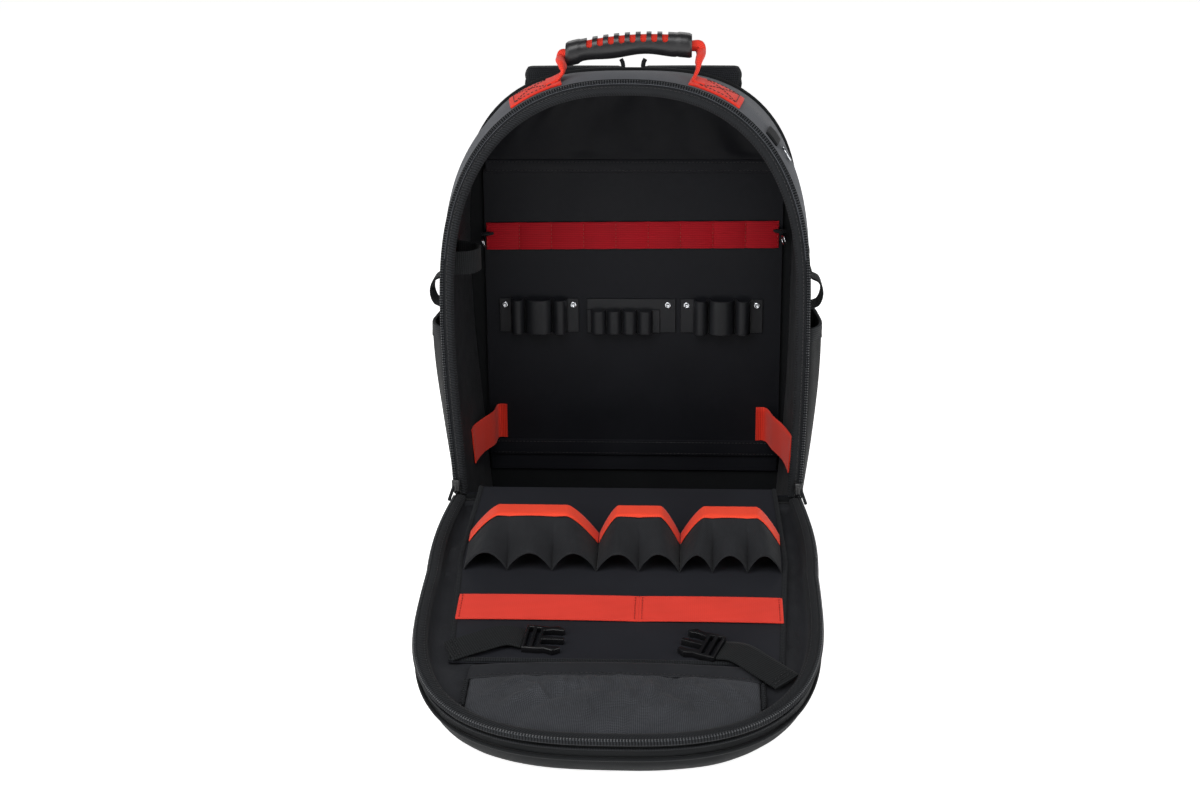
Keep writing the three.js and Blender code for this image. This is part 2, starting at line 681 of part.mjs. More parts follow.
const patchOuter = 0.391;
const patchInner = 0.448;
const patchFront = 0.05;
const patchRear = 0.32;
for (const side of [-1, 1]) {
  const turned = (t) => (side < 0 ? t : 1 - t);
  const patch = blockSolid((u, v, w) => bodyPoint(
    turned(mix(patchOuter, patchInner, u)), mix(patchFront, patchRear, v), gap + w * webbingThickness,
  ), 4, 3);
  const gripEnd = gripPath(side * gripHalf);
  const [neck, bulge] = side < 0 ? [gripHalf + 2, gripHalf + 5] : [gripHalf + 7, gripHalf + 10];
  const free = (x, y, z, width, thickness) => (
    station(gripCentre.x + side * x, y, z, across, width, thickness)
  );
  const inside = coreHalf + 1.5;
  const onPatch = (t, out) => {
    const near = bodyPoint(turned(t), patchFront + 0.04, gap + out);
    const far = bodyPoint(turned(t), patchRear - 0.04, gap + out);
    return { place: near.clone().lerp(far, 0.5), side: far.sub(near).normalize(), width: 30, thickness: 1.6 };
  };
  const root = onPatch(patchInner - 0.004, 2.2).place;
  const rise = gripEnd - root.z;
  const tail = strapSolid([
    onPatch(patchInner - 0.02, 1.9),
    onPatch(patchInner - 0.004, 2.2),
    free(neck, root.y, root.z + 0.3 * rise, 22, webbingThickness),
    free(neck + 1, root.y + 3, root.z + 0.5 * rise, 20, 4),
    free(bulge, gripCentre.y - 1, root.z + 0.8 * rise, 20, 5),
    free(bulge - 2, gripCentre.y, gripEnd - 1, strapDepth, strapHeight - 1),
    free(gripHalf, gripCentre.y, gripEnd, strapDepth, strapHeight),
    free(inside, gripCentre.y, gripPath(side * inside), strapDepth, strapHeight),
  ], 18);
  add(side < 0 ? 'handle_webbing_left' : 'handle_webbing_right', joined([patch, tail]), materials.redWebbing);
}

// Back: two pads, the shoulder straps, and their webbing with plain strap buckles
const padThickness = 10;
const padWidth = 112;
const padInner = 18;
const padBottom = 96;
const padTop = 440;
const padEdge = 2;
const backFace = baseDepth / 2 + gap;
const buckleTop = 192;
const buckleLength = 36;
const buckleWidth = 34;
const buckleX = 96.5;
const buckleSlots = [6, 16, 26];
const buckleSlotHeight = 5;
const sideways = vector(1, 0, 0);
for (const side of [-1, 1]) {
  const name = side < 0 ? 'left' : 'right';
  add(`back_pad_${name}`, blockSolid((u, v, w) => {
    const crown = Math.sqrt(Math.max(0, (1 - (2 * u - 1) ** 4) * (1 - (2 * v - 1) ** 8)));
    const thickness = mix(padEdge, padThickness, crown);
    return vector(side * (padInner + padWidth * u), backFace + w * thickness, mix(padBottom, padTop, v));
  }, 6, 7), materials.blackCloth);

  // Each row: across, behind the back, height, width, thickness and the tilt that follows the shoulder
  const padPath = [
    [62, 6.5, 503, 112, 12, 0.2],
    [62, 7, 480, 100, 12, 0.14],
    [65, 12, 455, 78, 12, 0.06],
    [72, 27, 410, 62, 12, 0],
    [82, 38, 350, 58, 12, 0],
    [90, 40, 290, 56, 12, 0],
    [94, 34, 235, 54, 12, 0],
    [96, 26, 196, 50, 10, 0],
  ];
  add(`shoulder_strap_${name}`, strapSolid(padPath.map(([x, y, z, width, thickness, tilt]) => ({
    place: vector(side * x, backFace + y, z),
    side: vector(Math.cos(tilt), 0, -side * Math.sin(tilt)),
    width,
    thickness,
  })), 24), materials.blackCloth);

  const buckle = blockSolid((u, v, w) => vector(
    side * buckleX + (u - 0.5) * buckleWidth, backFace + mix(22, 27, w), buckleTop - v * buckleLength,
  ), 1, 1);
  const slotCutters = buckleSlots.map((at) => blockSolid((u, v, w) => vector(
    side * buckleX + (u - 0.5) * (webbing + 1),
    backFace + mix(10, 40, w),
    buckleTop - at - v * buckleSlotHeight,
  ), 1, 1));
  add(`strap_buckle_${name}`, cutBy(buckle, slotCutters), materials.blackPlastic);
  const onBack = webbingThickness / 2 + gap;
  const webbingPath = [[97, 24, 153], [102, 20, 130], [116, 10, 92], [130, onBack, 60], [134, onBack, 46]];
  add(`strap_webbing_${name}`, strapSolid(webbingPath.map(([x, y, z]) => (
    station(side * x, backFace + y, z, sideways, webbing, webbingThickness)
  )), 14), materials.blackCloth);
}

// Lid shell: a shallow tray whose far edge rests on the floor
const lidTurn = Math.tan(openingLean + lidSlope);
const lidLength = openingHeight * lidShortening;
const lidDepth = (hingeHeight - (lidLength - 13) * Math.sin(lidSlope)) / Math.cos(lidSlope) + 1.5;
function lidLoop(grow, above, hingeSide = 0) {
  const first = Math.abs(above) * lidTurn + 0.6 + hingeSide;
  const loop = [];
  for (let k = 0; k <= archSteps; k += 1) {
    const edge = lidArch(mix(shareAt(first) / 2, 1 - shareAt(first) / 2, k / archSteps), grow);
    loop.push(lidPoint(edge.x, Math.max(first, edge.h), above));
  }
  return loop;
}
const shellOutside = -1;
add('lid_shell', loftSolid([
  lidLoop(-lidCornerRadius, -lidDepth, 10),
  lidLoop(-13, -lidDepth + 1.5, 4),
  lidLoop(-5, -lidDepth + 9, 1),
  lidLoop(shellOutside, -lidDepth / 2),
  lidLoop(shellOutside, -rimDrop - gap),
  lidLoop(shellOutside - lidWall, -rimDrop - gap, lidWall),
  lidLoop(shellOutside - lidWall, -lidDepth / 2, lidWall),
  lidLoop(-9, -lidDepth + 11, lidWall + 1),
  lidLoop(-lidCornerRadius, -lidDepth + lidWall, lidWall + 9),
]), materials.blackCloth);

// Lid lining: a shallow dish inside the shell
add('lid_lining', loftSolid([
  lidLoop(shellOutside - lidWall - 1, -lidRecess - liningThickness, lidWall + 1),
  lidLoop(shellOutside - lidWall - 1, -rimDrop - gap, lidWall + 1),
  lidLoop(-rimWidth + 2, -rimDrop - gap, lidWall + 5),
  lidLoop(-rimWidth - 0.5, -lidRecess, lidWall + 7),
]), materials.blackCloth);

// Lid rim: the bound edge that carries the lid's half of the zip
const rimOutside = 2.6;
const rimStart = shareAt(4.6) / 2;
add('lid_rim', blockSolid((u, v, w) => {
  const edge = lidArch(mix(rimStart, 1 - rimStart, u), mix(rimOutside - rimWidth, rimOutside, v));
  const crown = Math.sin(halfTurn * v) * rimRise * w;
  return lidPoint(edge.x, Math.max(4.6, edge.h), mix(-rimDrop, 0, w) + crown);
}, archSteps, 2), materials.blackCloth);

// Organiser board: a stiff sheet that lies from the sill to the middle of the lid
const organiserStart = -8;
const organiserEnd = 283;
const organiserRise = 3.9;
const organiserFoot = boardThickness + gap - lidRecess;
const organiserTop = (reach) => mix(
  organiserRise, organiserFoot, (reach - organiserStart) / (organiserEnd - organiserStart),
);
const organiserWidest = 120;
const organiserMargins = { hinge: 22, widest: 16, end: 25 };
function organiserHalf(reach) {
  const { hinge, widest, end } = organiserMargins;
  const margin = reach < organiserWidest
    ? mix(hinge, widest, between(reach / organiserWidest, 0, 1))
    : mix(widest, end, (reach - organiserWidest) / (organiserEnd - organiserWidest));
  return hingeWidth / 2 - margin;
}
add('organiser_board', blockSolid((u, v, w) => {
  const reach = mix(organiserStart, organiserEnd, v);
  return lidPoint((2 * u - 1) * organiserHalf(reach), reach, organiserTop(reach) + (w - 1) * boardThickness);
}, 2, 8), materials.blackCloth);

// Tool sleeves: sheets that arch over the board, one wide arch at the upper edge and several at the lower
const sleeveUpper = 84;
const sleeveLower = 142;
const sleeveRise = 31;
const sleeveLowRise = 19;
const sleeveThickness = 2;
const trimWidth = 13;
const trimShare = trimWidth / (sleeveLower - sleeveUpper);
const sleeveShoulder = 0.24;
const wideArch = (share) => 1 - (1 - between(Math.min(share, 1 - share) / sleeveShoulder, 0, 1)) ** 1.4;
function smallArches(x, feet) {
  for (let k = 0; k + 1 < feet.length; k += 1) {
    if (x <= feet[k + 1] || k + 2 === feet.length) {
      const share = between((x - feet[k]) / (feet[k + 1] - feet[k]), 0, 1);
      return Math.sin(halfTurn * share) ** 0.85;
    }
  }
  return 0;
}
function sleeveHeight(x, feet, v) {
  const share = (x - feet[0]) / (feet[feet.length - 1] - feet[0]);
  const gathered = between((v - trimShare) / (1 - trimShare), 0, 1);
  return mix(sleeveRise * wideArch(share), sleeveLowRise * smallArches(x, feet), gathered);
}
function sleevePoint(u, reach, raise, feet) {
  const x = mix(feet[0], feet[feet.length - 1], u);
  const v = (reach - sleeveUpper) / (sleeveLower - sleeveUpper);
  return lidPoint(x, reach, organiserTop(reach) + gap + sleeveHeight(x, feet, v) + raise);
}
const sleeveFeet = {
  left: [-150, -109, -66, -24.4],
  middle: [-23.6, 16, 54.6],
  right: [55.4, 86, 119, 151],
};
for (const [name, feet] of Object.entries(sleeveFeet)) {
  const steps = 6 * (feet.length - 1);
  add(`sleeve_${name}`, blockSolid((u, v, w) => sleevePoint(
    u, mix(sleeveUpper, sleeveLower, v), w * sleeveThickness, feet,
  ), steps, 3), materials.blackCloth);
  add(`sleeve_trim_${name}`, blockSolid((u, v, w) => {
    const reach = mix(sleeveUpper - 0.5, sleeveUpper + trimWidth, v);
    return sleevePoint(u, reach, sleeveThickness + 3 * gap + w * elasticThickness, feet);
  }, steps, 1), materials.redWebbing);
}

// Flat red bands below the sleeves
const flatBandStart = 184;
const flatBandWidth = 38;
const onOrganiser = (from, to, start, end, thickness, nu) => blockSolid((u, v, w) => {
  const reach = mix(start, end, v);
  return lidPoint(mix(from, to, u), reach, organiserTop(reach) + gap + w * thickness);
}, nu, 2);
const flatBandEnd = flatBandStart + flatBandWidth;
const bandSeam = 18;
add('red_band_left', onOrganiser(
  -149, bandSeam - gap, flatBandStart, flatBandEnd, elasticThickness, 4,
), materials.redWebbing);
add('red_band_right', onOrganiser(
  bandSeam + gap, 150, flatBandStart, flatBandEnd, elasticThickness, 4,
), materials.redWebbing);

// Lid straps with the pronged halves of their buckles
const lidWebbing = 30;
const buckleThickness = 6;
const stemLength = 16;
const prongLength = 36;
function pronged(width) {
  const half = width / 2;
  const prong = [
    [0, half], [stemLength - 2, half], [stemLength + 4, half - 1], [prongLength - 8, half + 1.5],
    [prongLength - 1, half - 3], [prongLength - 3, half - 5.5], [stemLength + 9, half - 5],
    [stemLength, half - 6.5], [stemLength, 2.5], [prongLength, 1.8],
  ];
  const lower = prong.map(([x, y]) => new THREE.Vector2(x, -y));
  const upper = prong.map(([x, y]) => new THREE.Vector2(x, y)).reverse();
  const outline = new THREE.Shape([...lower, ...upper]);
  for (const [start, reach] of [[2.5, half - 2.5], [9.5, half - 3]]) {
    outline.holes.push(new THREE.Path([
      new THREE.Vector2(start, -reach),
      new THREE.Vector2(start, reach),
      new THREE.Vector2(start + 4, reach),
      new THREE.Vector2(start + 4, -reach),
    ]));
  }
  return new THREE.ExtrudeGeometry(outline, { depth: buckleThickness, bevelEnabled: false });
}
const strapBow = 2.4;
const strapLead = 16;
const lidStraps = {
  left: { start: [-149, 273], end: [-84, 253], turn: 0.1 },
  right: { start: [150, 311], end: [93, 266], turn: halfTurn + 0.34 },
};
const boardFrame = (x, reach, above) => {
  const slope = (organiserTop(organiserEnd) - organiserTop(organiserStart)) / (organiserEnd - organiserStart);
  const outward = lidPoint(0, 1, slope).sub(lidPoint(0, 0, 0)).normalize();
  const up = outward.clone().cross(sideways);
  const frame = new THREE.Matrix4().makeBasis(sideways, outward.clone().negate(), up);
  return frame.setPosition(lidPoint(x, reach, organiserTop(reach) + above));
};
for (const [name, strap] of Object.entries(lidStraps)) {
  const { start, end, turn } = strap;
  const side = lidPoint(start[1] - end[1], end[0] - start[0]).sub(lidPoint(0, 0)).normalize();
  const lead = [end[0] - strapLead * Math.cos(turn), end[1] - strapLead * Math.sin(turn)];
  const middle = [mix(start[0], lead[0], 0.5), mix(start[1], lead[1], 0.5)];
  const stations = [start, middle, lead, end].map(([x, reach], k) => {
    const bow = strapBow * Math.sin((halfTurn * k) / 3);
    const above = organiserTop(Math.min(reach, organiserEnd)) + webbingThickness + 2 * gap + bow;
    return { place: lidPoint(x, reach, above), side, width: lidWebbing, thickness: webbingThickness };
  });
  add(`lid_strap_${name}`, strapSolid(stations, 8), materials.blackCloth);
  const buckle = pronged(lidWebbing + 4);
  buckle.rotateZ(-turn);
  buckle.applyMatrix4(boardFrame(end[0] + Math.cos(turn), end[1] + Math.sin(turn), gap));
  add(`lid_buckle_${name}`, buckle, materials.blackPlastic);
}

// Gathered mesh pocket at the far end of the lid, with its hem and the corded sides
const hemStart = 290;
const hemWidth = 19;
const meshStart = hemStart + hemWidth + gap;
const meshEnd = 384;
const meshThickness = 1.5;
const meshWidth = 252;
const meshSag = 9;
const pocketHalf = (reach) => Math.min(meshWidth / 2, lidHalf(reach, -rimWidth - 1.5) - 1);
const pocketSpan = (u) => Math.sin(halfTurn * between(u, 0, 1)) ** 0.5;
const meshRise = (u, v) => {
  const along = mix(0.75, 1, Math.sin(halfTurn * v)) * (1 - v ** 6);
  const gather = 1.2 * Math.sin(u * 11 + v * 6) * v;
  return pocketSpan(u) * along * (meshSag + gather);
};
add('mesh_pocket', blockSolid((u, v, w) => {
  const reach = mix(meshStart, meshEnd, v);
  const above = -lidRecess + gap + meshRise(u, v) + w * meshThickness;
  return lidPoint((2 * u - 1) * pocketHalf(reach), reach, above);
}, 22, 5), materials.blackCloth);
const hemRise = 0.75 * meshSag;
const hemThickness = 2;
add('pocket_hem', blockSolid((u, v, w) => {
  const reach = mix(hemStart, hemStart + hemWidth, v);
  const rise = hemRise * pocketSpan(u) + w * hemThickness;
  return lidPoint((2 * u - 1) * (meshWidth / 2 + 2), reach, -lidRecess + gap + rise);
}, 16, 1), materials.blackCloth);
const cordWidth = 5;
const cordHeight = 3.5;
const cordEnd = 346;
for (const side of [-1, 1]) {
  add(side < 0 ? 'pocket_cord_left' : 'pocket_cord_right', blockSolid((u, v, w) => {
    const reach = mix(hemStart + hemWidth + 1, cordEnd, v);
    const x = meshWidth / 2 + 2 * gap + u * cordWidth;
    return lidPoint(side * x, reach, -lidRecess + gap + w * cordHeight);
  }, 1, 3), materials.blackCloth);
}

export default backpack;
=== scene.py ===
# An open tool backpack: the body stands and its lid lies folded down in front of it.
import math

import bmesh
import bpy
import numpy as np
from mathutils import Matrix, Vector, noise


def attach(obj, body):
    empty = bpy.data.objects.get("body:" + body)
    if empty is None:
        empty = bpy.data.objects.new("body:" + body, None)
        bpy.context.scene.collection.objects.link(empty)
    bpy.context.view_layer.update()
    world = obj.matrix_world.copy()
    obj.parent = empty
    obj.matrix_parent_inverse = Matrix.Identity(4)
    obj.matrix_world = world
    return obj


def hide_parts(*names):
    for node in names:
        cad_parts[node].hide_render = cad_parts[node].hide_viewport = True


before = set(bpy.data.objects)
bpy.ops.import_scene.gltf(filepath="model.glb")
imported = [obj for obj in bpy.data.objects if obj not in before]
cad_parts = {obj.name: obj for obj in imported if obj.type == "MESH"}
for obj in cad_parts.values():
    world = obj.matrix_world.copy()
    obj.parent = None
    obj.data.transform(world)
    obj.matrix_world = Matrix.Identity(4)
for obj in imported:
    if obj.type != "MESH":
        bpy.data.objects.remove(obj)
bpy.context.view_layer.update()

# Camera
# The photo was taken from in front, a little above the top of the bag and slightly to its right.
# Place, aim and lens were worked out from the opening's arch and the lid's board, in millimetres.
MM = 0.001
camera_place = (67.0, -1865.0, 767.6)
yaw, pitch, roll = (math.radians(angle) for angle in (-3.03, 17.61, -0.46))
forward = Vector((math.sin(yaw) * math.cos(pitch), math.cos(yaw) * math.cos(pitch), -math.sin(pitch)))
level_right = forward.cross(Vector((0, 0, 1))).normalized()
level_up = level_right.cross(forward)
right = math.cos(roll) * level_right + math.sin(roll) * level_up
up = -math.sin(roll) * level_right + math.cos(roll) * level_up
lens = bpy.data.cameras.new("camera")
lens.lens = 55.73
lens.sensor_width = 36
lens.sensor_fit = "HORIZONTAL"
camera = bpy.data.objects.new("camera", lens)
camera.matrix_world = Matrix((right, up, -forward)).transposed().to_4x4()
camera.location = Vector(camera_place) * MM
bpy.context.scene.collection.objects.link(camera)
bpy.context.scene.camera = camera

# Light
# A white studio: one large softbox high in front, one on each side, and a bright even surround.
def softbox(name, place, target, size, watts):
    lamp = bpy.data.lights.new(name, "AREA")
    lamp.shape = "RECTANGLE"
    lamp.size, lamp.size_y = size
    lamp.energy = watts
    box = bpy.data.objects.new(name, lamp)
    box.location = place
    box.rotation_euler = (Vector(target) - Vector(place)).to_track_quat("-Z", "Y").to_euler()
    bpy.context.scene.collection.objects.link(box)


softbox("softbox_front", (-0.5, -1.5, 2.1), (0.0, -0.15, 0.15), (1.8, 1.4), 38)
softbox("softbox_left", (-1.6, -1.3, 1.0), (0.0, -0.05, 0.25), (1.4, 1.6), 17)
softbox("softbox_right", (1.6, -1.2, 1.1), (0.0, -0.05, 0.25), (1.4, 1.6), 18)
softbox("softbox_back", (0.0, 1.9, 1.7), (0.0, 0.0, 0.3), (1.8, 1.2), 11)
world = bpy.data.worlds.new("studio")
world.use_nodes = True
world.node_tree.nodes["Background"].inputs["Color"].default_value = (1, 1, 1, 1)
world.node_tree.nodes["Background"].inputs["Strength"].default_value = 0.12
bpy.context.scene.world = world
bpy.context.scene.view_settings.view_transform = "Standard"


# Floor
# Plain white studio paper under the bag.
def linear(code):
    parts = [int(code[k:k + 2], 16) / 255 for k in (1, 3, 5)]
    return tuple(p / 12.92 if p <= 0.04045 else ((p + 0.055) / 1.055) ** 2.4 for p in parts) + (1.0,)


def add_node(tree, kind, inputs=None, **settings):
    """Add a node, set its settings, and fill its inputs with values or with other nodes' outputs."""
    node = tree.nodes.new(kind)
    for key, value in settings.items():
        setattr(node, key, value)
    for key, value in (inputs or {}).items():
        if isinstance(value, bpy.types.NodeSocket):
            tree.links.new(value, node.inputs[key])
        else:
            node.inputs[key].default_value = value
    return node


def new_material(name):
    material = bpy.data.materials.new(name)
    material.use_nodes = True
    return material, material.node_tree, material.node_tree.nodes["Principled BSDF"]


paper, _, paper_shader = new_material("studio_paper")
paper_shader.inputs["Base Color"].default_value = linear("#f6f6f5")
paper_shader.inputs["Roughness"].default_value = 0.9
paper_shader.inputs["Emission Color"].default_value = linear("#ffffff")
paper_shader.inputs["Emission Strength"].default_value = 0.88
floor_mesh = bpy.data.meshes.new("floor")
floor_half = 30
floor_mesh.from_pydata(
    [(-floor_half, -floor_half, 0), (floor_half, -floor_half, 0),
     (floor_half, floor_half, 0), (-floor_half, floor_half, 0)], [], [(0, 1, 2, 3)])
floor_mesh.materials.append(paper)
floor = bpy.data.objects.new("floor", floor_mesh)
floor.location.z = -0.0003
bpy.context.scene.collection.objects.link(floor)

# Side walls
# Black polyester cloth over foam, with a smooth dark lining inside. Each wall is one panel, sewn to the
# zip's tape in front, to the back panel behind and to the moulded base below.
GAP = 0.3
HINGE_HEIGHT, HINGE_WIDTH = 104, 346
OPENING_WIDTH, OPENING_HEIGHT, WIDEST_HEIGHT, OPENING_SWAY = 364, 413, 196, -3
LEAN = math.radians(8)
SQUARENESS, BACK_SQUARENESS = 2.4, 3
BASE_DEPTH, BASE_WIDTH, BASE_HEIGHT = 225, 338, 32
BODY_WALL, BEYOND_ZIP, BACK_THICKNESS = 5, 2, 6
BACK_NARROWING, BACK_DROP = 0.95, 18
TOP_BULGE, SIDE_BULGE, BULGE_KNEE = 9, 4, 0.35
SEAM_HEIGHT = 236
LOW_SHARE = 0.4
HINGE_Y = -BASE_DEPTH / 2 + HINGE_HEIGHT * math.tan(LEAN)
BACK_FRONT = BASE_DEPTH / 2 - BACK_THICKNESS
FRONT_RISE = OPENING_HEIGHT * math.cos(LEAN)
BACK_SHARE = (FRONT_RISE - BACK_DROP) / FRONT_RISE
HINGE_DROP = HINGE_HEIGHT / math.cos(LEAN)


def mix(a, b, share):
    return a + (b - a) * share


def smooth(share):
    share = np.clip(share, 0, 1)
    return share * share * (3 - 2 * share)


def points(x, y, z):
    return np.stack(np.broadcast_arrays(x, y, z), axis=-1).astype(float)


def sway_at(h):
    """How far the body leans sideways at a height above the hinge."""
    return OPENING_SWAY * smooth(h / WIDEST_HEIGHT)


def opening_point(x, h, behind=0):
    """A point of the opening's leaning plane: across, up from the hinge, and behind it."""
    return points(
        x + sway_at(h),
        HINGE_Y + h * math.sin(LEAN) + behind * math.cos(LEAN),
        HINGE_HEIGHT + h * math.cos(LEAN) - behind * math.sin(LEAN))


def half_arch(share, squareness):
    share = np.asarray(share, float)
    low_h = share / LOW_SHARE * WIDEST_HEIGHT
    below = HINGE_WIDTH / 2 + (HINGE_WIDTH - BASE_WIDTH) / 2 * low_h / HINGE_DROP
    low = mix(HINGE_WIDTH, OPENING_WIDTH, np.sin(low_h / WIDEST_HEIGHT * math.pi / 2)) / 2
    angle = np.clip((share - LOW_SHARE) / (1 - LOW_SHARE), 0, 1) * math.pi / 2
    x = OPENING_WIDTH / 2 * np.maximum(0, np.cos(angle)) ** (2 / squareness)
    h = WIDEST_HEIGHT + (OPENING_HEIGHT - WIDEST_HEIGHT) * np.sin(angle) ** (2 / squareness)
    is_low = share < LOW_SHARE
    return np.where(is_low, np.where(low_h < 0, below, low), x), np.where(is_low, low_h, h)


def share_at(h):
    """How far round the half arch a height above the hinge lies."""
    if h < WIDEST_HEIGHT:
        return h / WIDEST_HEIGHT * LOW_SHARE
    rise = min(1, (h - WIDEST_HEIGHT) / (OPENING_HEIGHT - WIDEST_HEIGHT))
    return LOW_SHARE + (1 - LOW_SHARE) * math.asin(rise ** (SQUARENESS / 2)) / (math.pi / 2)


def arch_point(t, grow=0, squareness=SQUARENESS):
    """The whole arch from its left hinge end (0) over the top to the right one (1), grown outward."""
    t = np.asarray(t, float)
    share = 1 - np.abs(2 * t - 1)
    side = np.where(t < 0.5, -1, 1)
    x, h = half_arch(share, squareness)
    before_x, before_h = half_arch(share - 1e-3, squareness)
    after_x, after_h = half_arch(np.minimum(1, share + 1e-3), squareness)
    length = np.hypot(after_x - before_x, after_h - before_h)
    return side * (x + grow * (after_h - before_h) / length), h - grow * (after_x - before_x) / length


def side_t(side, h):
    return share_at(h) / 2 if side < 0 else 1 - share_at(h) / 2


def side_t_of(side):
    """The same for one side, as a function of the height alone."""
    def at(h):
        return side_t(side, h)
    return at


def body_point(t, v, out=0):
    """A point of the body's wall: round the arch, from the opening to the back, and out past its face."""
    share = 1 - np.abs(2 * np.asarray(t, float) - 1)
    swell = mix(SIDE_BULGE, TOP_BULGE, smooth((share - 0.35) / 0.3)) * np.clip(1 + share / 0.2, 0, 1)
    grow = BEYOND_ZIP + out + swell * np.sin(math.pi / 2 * np.clip(v / BULGE_KNEE, 0, 1))
    front_x, front_h = arch_point(t, grow)
    back_x, back_h = arch_point(t, grow, BACK_SQUARENESS)
    rise = back_h * math.cos(LEAN) * np.where(back_h > 0, BACK_SHARE, 1)
    start = opening_point(front_x, front_h)
    end = points(back_x * BACK_NARROWING + sway_at(back_h), BACK_FRONT, HINGE_HEIGHT + rise)
    return start + (end - start) * np.asarray(v, float)[..., None]


def make_piece(name, places, faces, materials, uv=None, face_materials=None, crease=40):
    """Turn points in millimetres and faces into a smooth-shaded object with its material."""
    mesh = bpy.data.meshes.new(name)
    mesh.from_pydata([tuple(place) for place in np.asarray(places) * MM], [], faces)
    for material in materials:
        mesh.materials.append(material)
    if face_materials is not None:
        mesh.polygons.foreach_set("material_index", face_materials)
    if uv is not None:
        layer = mesh.uv_layers.new(name="cloth")
        corner = np.empty(len(mesh.loops), dtype=int)
        mesh.loops.foreach_get("vertex_index", corner)
        layer.data.foreach_set("uv", (np.asarray(uv) * MM)[corner].ravel())
    shape = bmesh.new()
    shape.from_mesh(mesh)
    bmesh.ops.recalc_face_normals(shape, faces=shape.faces)
    shape.to_mesh(mesh)
    shape.free()
    mesh.shade_smooth()
    mesh.set_sharp_from_angle(angle=math.radians(crease))
    piece = bpy.data.objects.new(name, mesh)
    bpy.context.scene.collection.objects.link(piece)
    return piece


def arc_lengths(grid, axis):
    step = np.linalg.norm(np.diff(grid, axis=axis), axis=-1)
    start = np.zeros_like(np.take(step, [0], axis=axis))
    length = np.concatenate([start, np.cumsum(step, axis=axis)], axis=axis)
    middle = np.take(length, [length.shape[axis] // 2], axis=axis)
    return length - middle


def sheet(name, place, across, along, material, under=None, crease=40):
    """A cloth of real thickness: place(u, v, w) gives its inner face at w = 0 and its outer one at w = 1."""
    u, v = np.meshgrid(np.linspace(0, 1, across + 1), np.linspace(0, 1, along + 1), indexing="ij")
    outer, inner = place(u, v, 1.0), place(u, v, 0.0)
    uv = np.stack([arc_lengths(outer, 0), arc_lengths(outer, 1)], axis=-1)
    rows, columns = across + 1, along + 1
    count = rows * columns
    index = np.arange(count).reshape(rows, columns)
    rim = list(index[:, 0]) + list(index[-1, 1:]) + list(index[-2::-1, -1]) + list(index[0, -2:0:-1])
    middle = (outer + inner) / 2
    flat_middle = middle.reshape(-1, 3)
    half = np.linalg.norm(outer - inner, axis=-1).reshape(-1) / 2
    edge = []
    for k in range(len(rim)):
        i, j = divmod(int(rim[k]), columns)
        near = index[min(max(i, 1), rows - 2), min(max(j, 1), columns - 2)]
        away = flat_middle[rim[k]] - flat_middle[near]
        edge.append(flat_middle[rim[k]] + away / max(np.linalg.norm(away), 1e-6) * half[rim[k]] * 0.6)
    places = np.concatenate([outer.reshape(-1, 3), inner.reshape(-1, 3), np.array(edge)])
    flat_uv = uv.reshape(-1, 2)
    all_uv = np.concatenate([flat_uv, flat_uv, flat_uv[rim]])
    faces, kinds = [], []
    for i in range(across):
        for j in range(along):
            a, b, c, d = index[i, j], index[i + 1, j], index[i + 1, j + 1], index[i, j + 1]
            faces.append((a, b, c, d))
            faces.append((d + count, c + count, b + count, a + count))
            kinds += [0, 1 if under else 0]
    for k, here in enumerate(rim):
        after = (k + 1) % len(rim)
        there = rim[after]
        side, side_after = 2 * count + k, 2 * count + after
        faces.append((here, side, side_after, there))
        faces.append((side, here + count, there + count, side_after))
        kinds += [0, 0]
    return make_piece(name, places, faces, [material, under] if under else [material], all_uv, kinds, crease)


def carried(piece, slot, *nodes):
    """Every piece rides on the one body and stands for its nodes; its slot is not used."""
    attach(piece, "root")
    if nodes:
        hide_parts(*nodes)
    return piece


def waves(u, v, scale, seed, depth=3):
    """Soft folds between -1 and 1, the same on every run."""
    flat = [noise.fractal(Vector((a * scale[0], b * scale[1], seed)), 0.6, 2.0, depth)
            for a, b in zip(np.ravel(u), np.ravel(v))]
    return np.array(flat).reshape(np.shape(u))


def weave_height(tree, pitch, pattern):
    """Height of the yarns between 0 and 1, from the cloth's own coordinates in metres."""
    place = add_node(tree, "ShaderNodeTexCoord")
    turns = 2 * math.pi / (pitch * MM)
    scaled = add_node(tree, "ShaderNodeVectorMath", {0: place.outputs["UV"], 1: (turns, turns, 0)},
                      operation="MULTIPLY")
    axis = add_node(tree, "ShaderNodeSeparateXYZ", {0: scaled.outputs[0]})
    x, y = axis.outputs["X"], axis.outputs["Y"]
    if pattern in ("twill", "diamond"):
        summed = add_node(tree, "ShaderNodeMath", {0: x, 1: y}, operation="ADD").outputs[0]
        gone = add_node(tree, "ShaderNodeMath", {0: x, 1: y}, operation="SUBTRACT").outputs[0]
        x, y = summed, gone
    first = add_node(tree, "ShaderNodeMath", {0: x}, operation="SINE").outputs[0]
    second = add_node(tree, "ShaderNodeMath", {0: y}, operation="SINE").outputs[0]
    shares = {"plain": (0.5, 0.5), "twill": (0.85, 0.15), "ribs": (0.15, 0.85), "cords": (0.85, 0.15),
              "diamond": (0.5, 0.5)}[pattern]
    if pattern in ("plain", "diamond"):
        both = add_node(tree, "ShaderNodeMath", {0: first, 1: second}, operation="MULTIPLY").outputs[0]
    else:
        one = add_node(tree, "ShaderNodeMath", {0: first, 1: shares[0]}, operation="MULTIPLY").outputs[0]
        both = add_node(tree, "ShaderNodeMath", {0: second, 1: shares[1], 2: one},
                        operation="MULTIPLY_ADD").outputs[0]
    return add_node(tree, "ShaderNodeMath", {0: both, 1: 0.5, 2: 0.5}, operation="MULTIPLY_ADD").outputs[0]


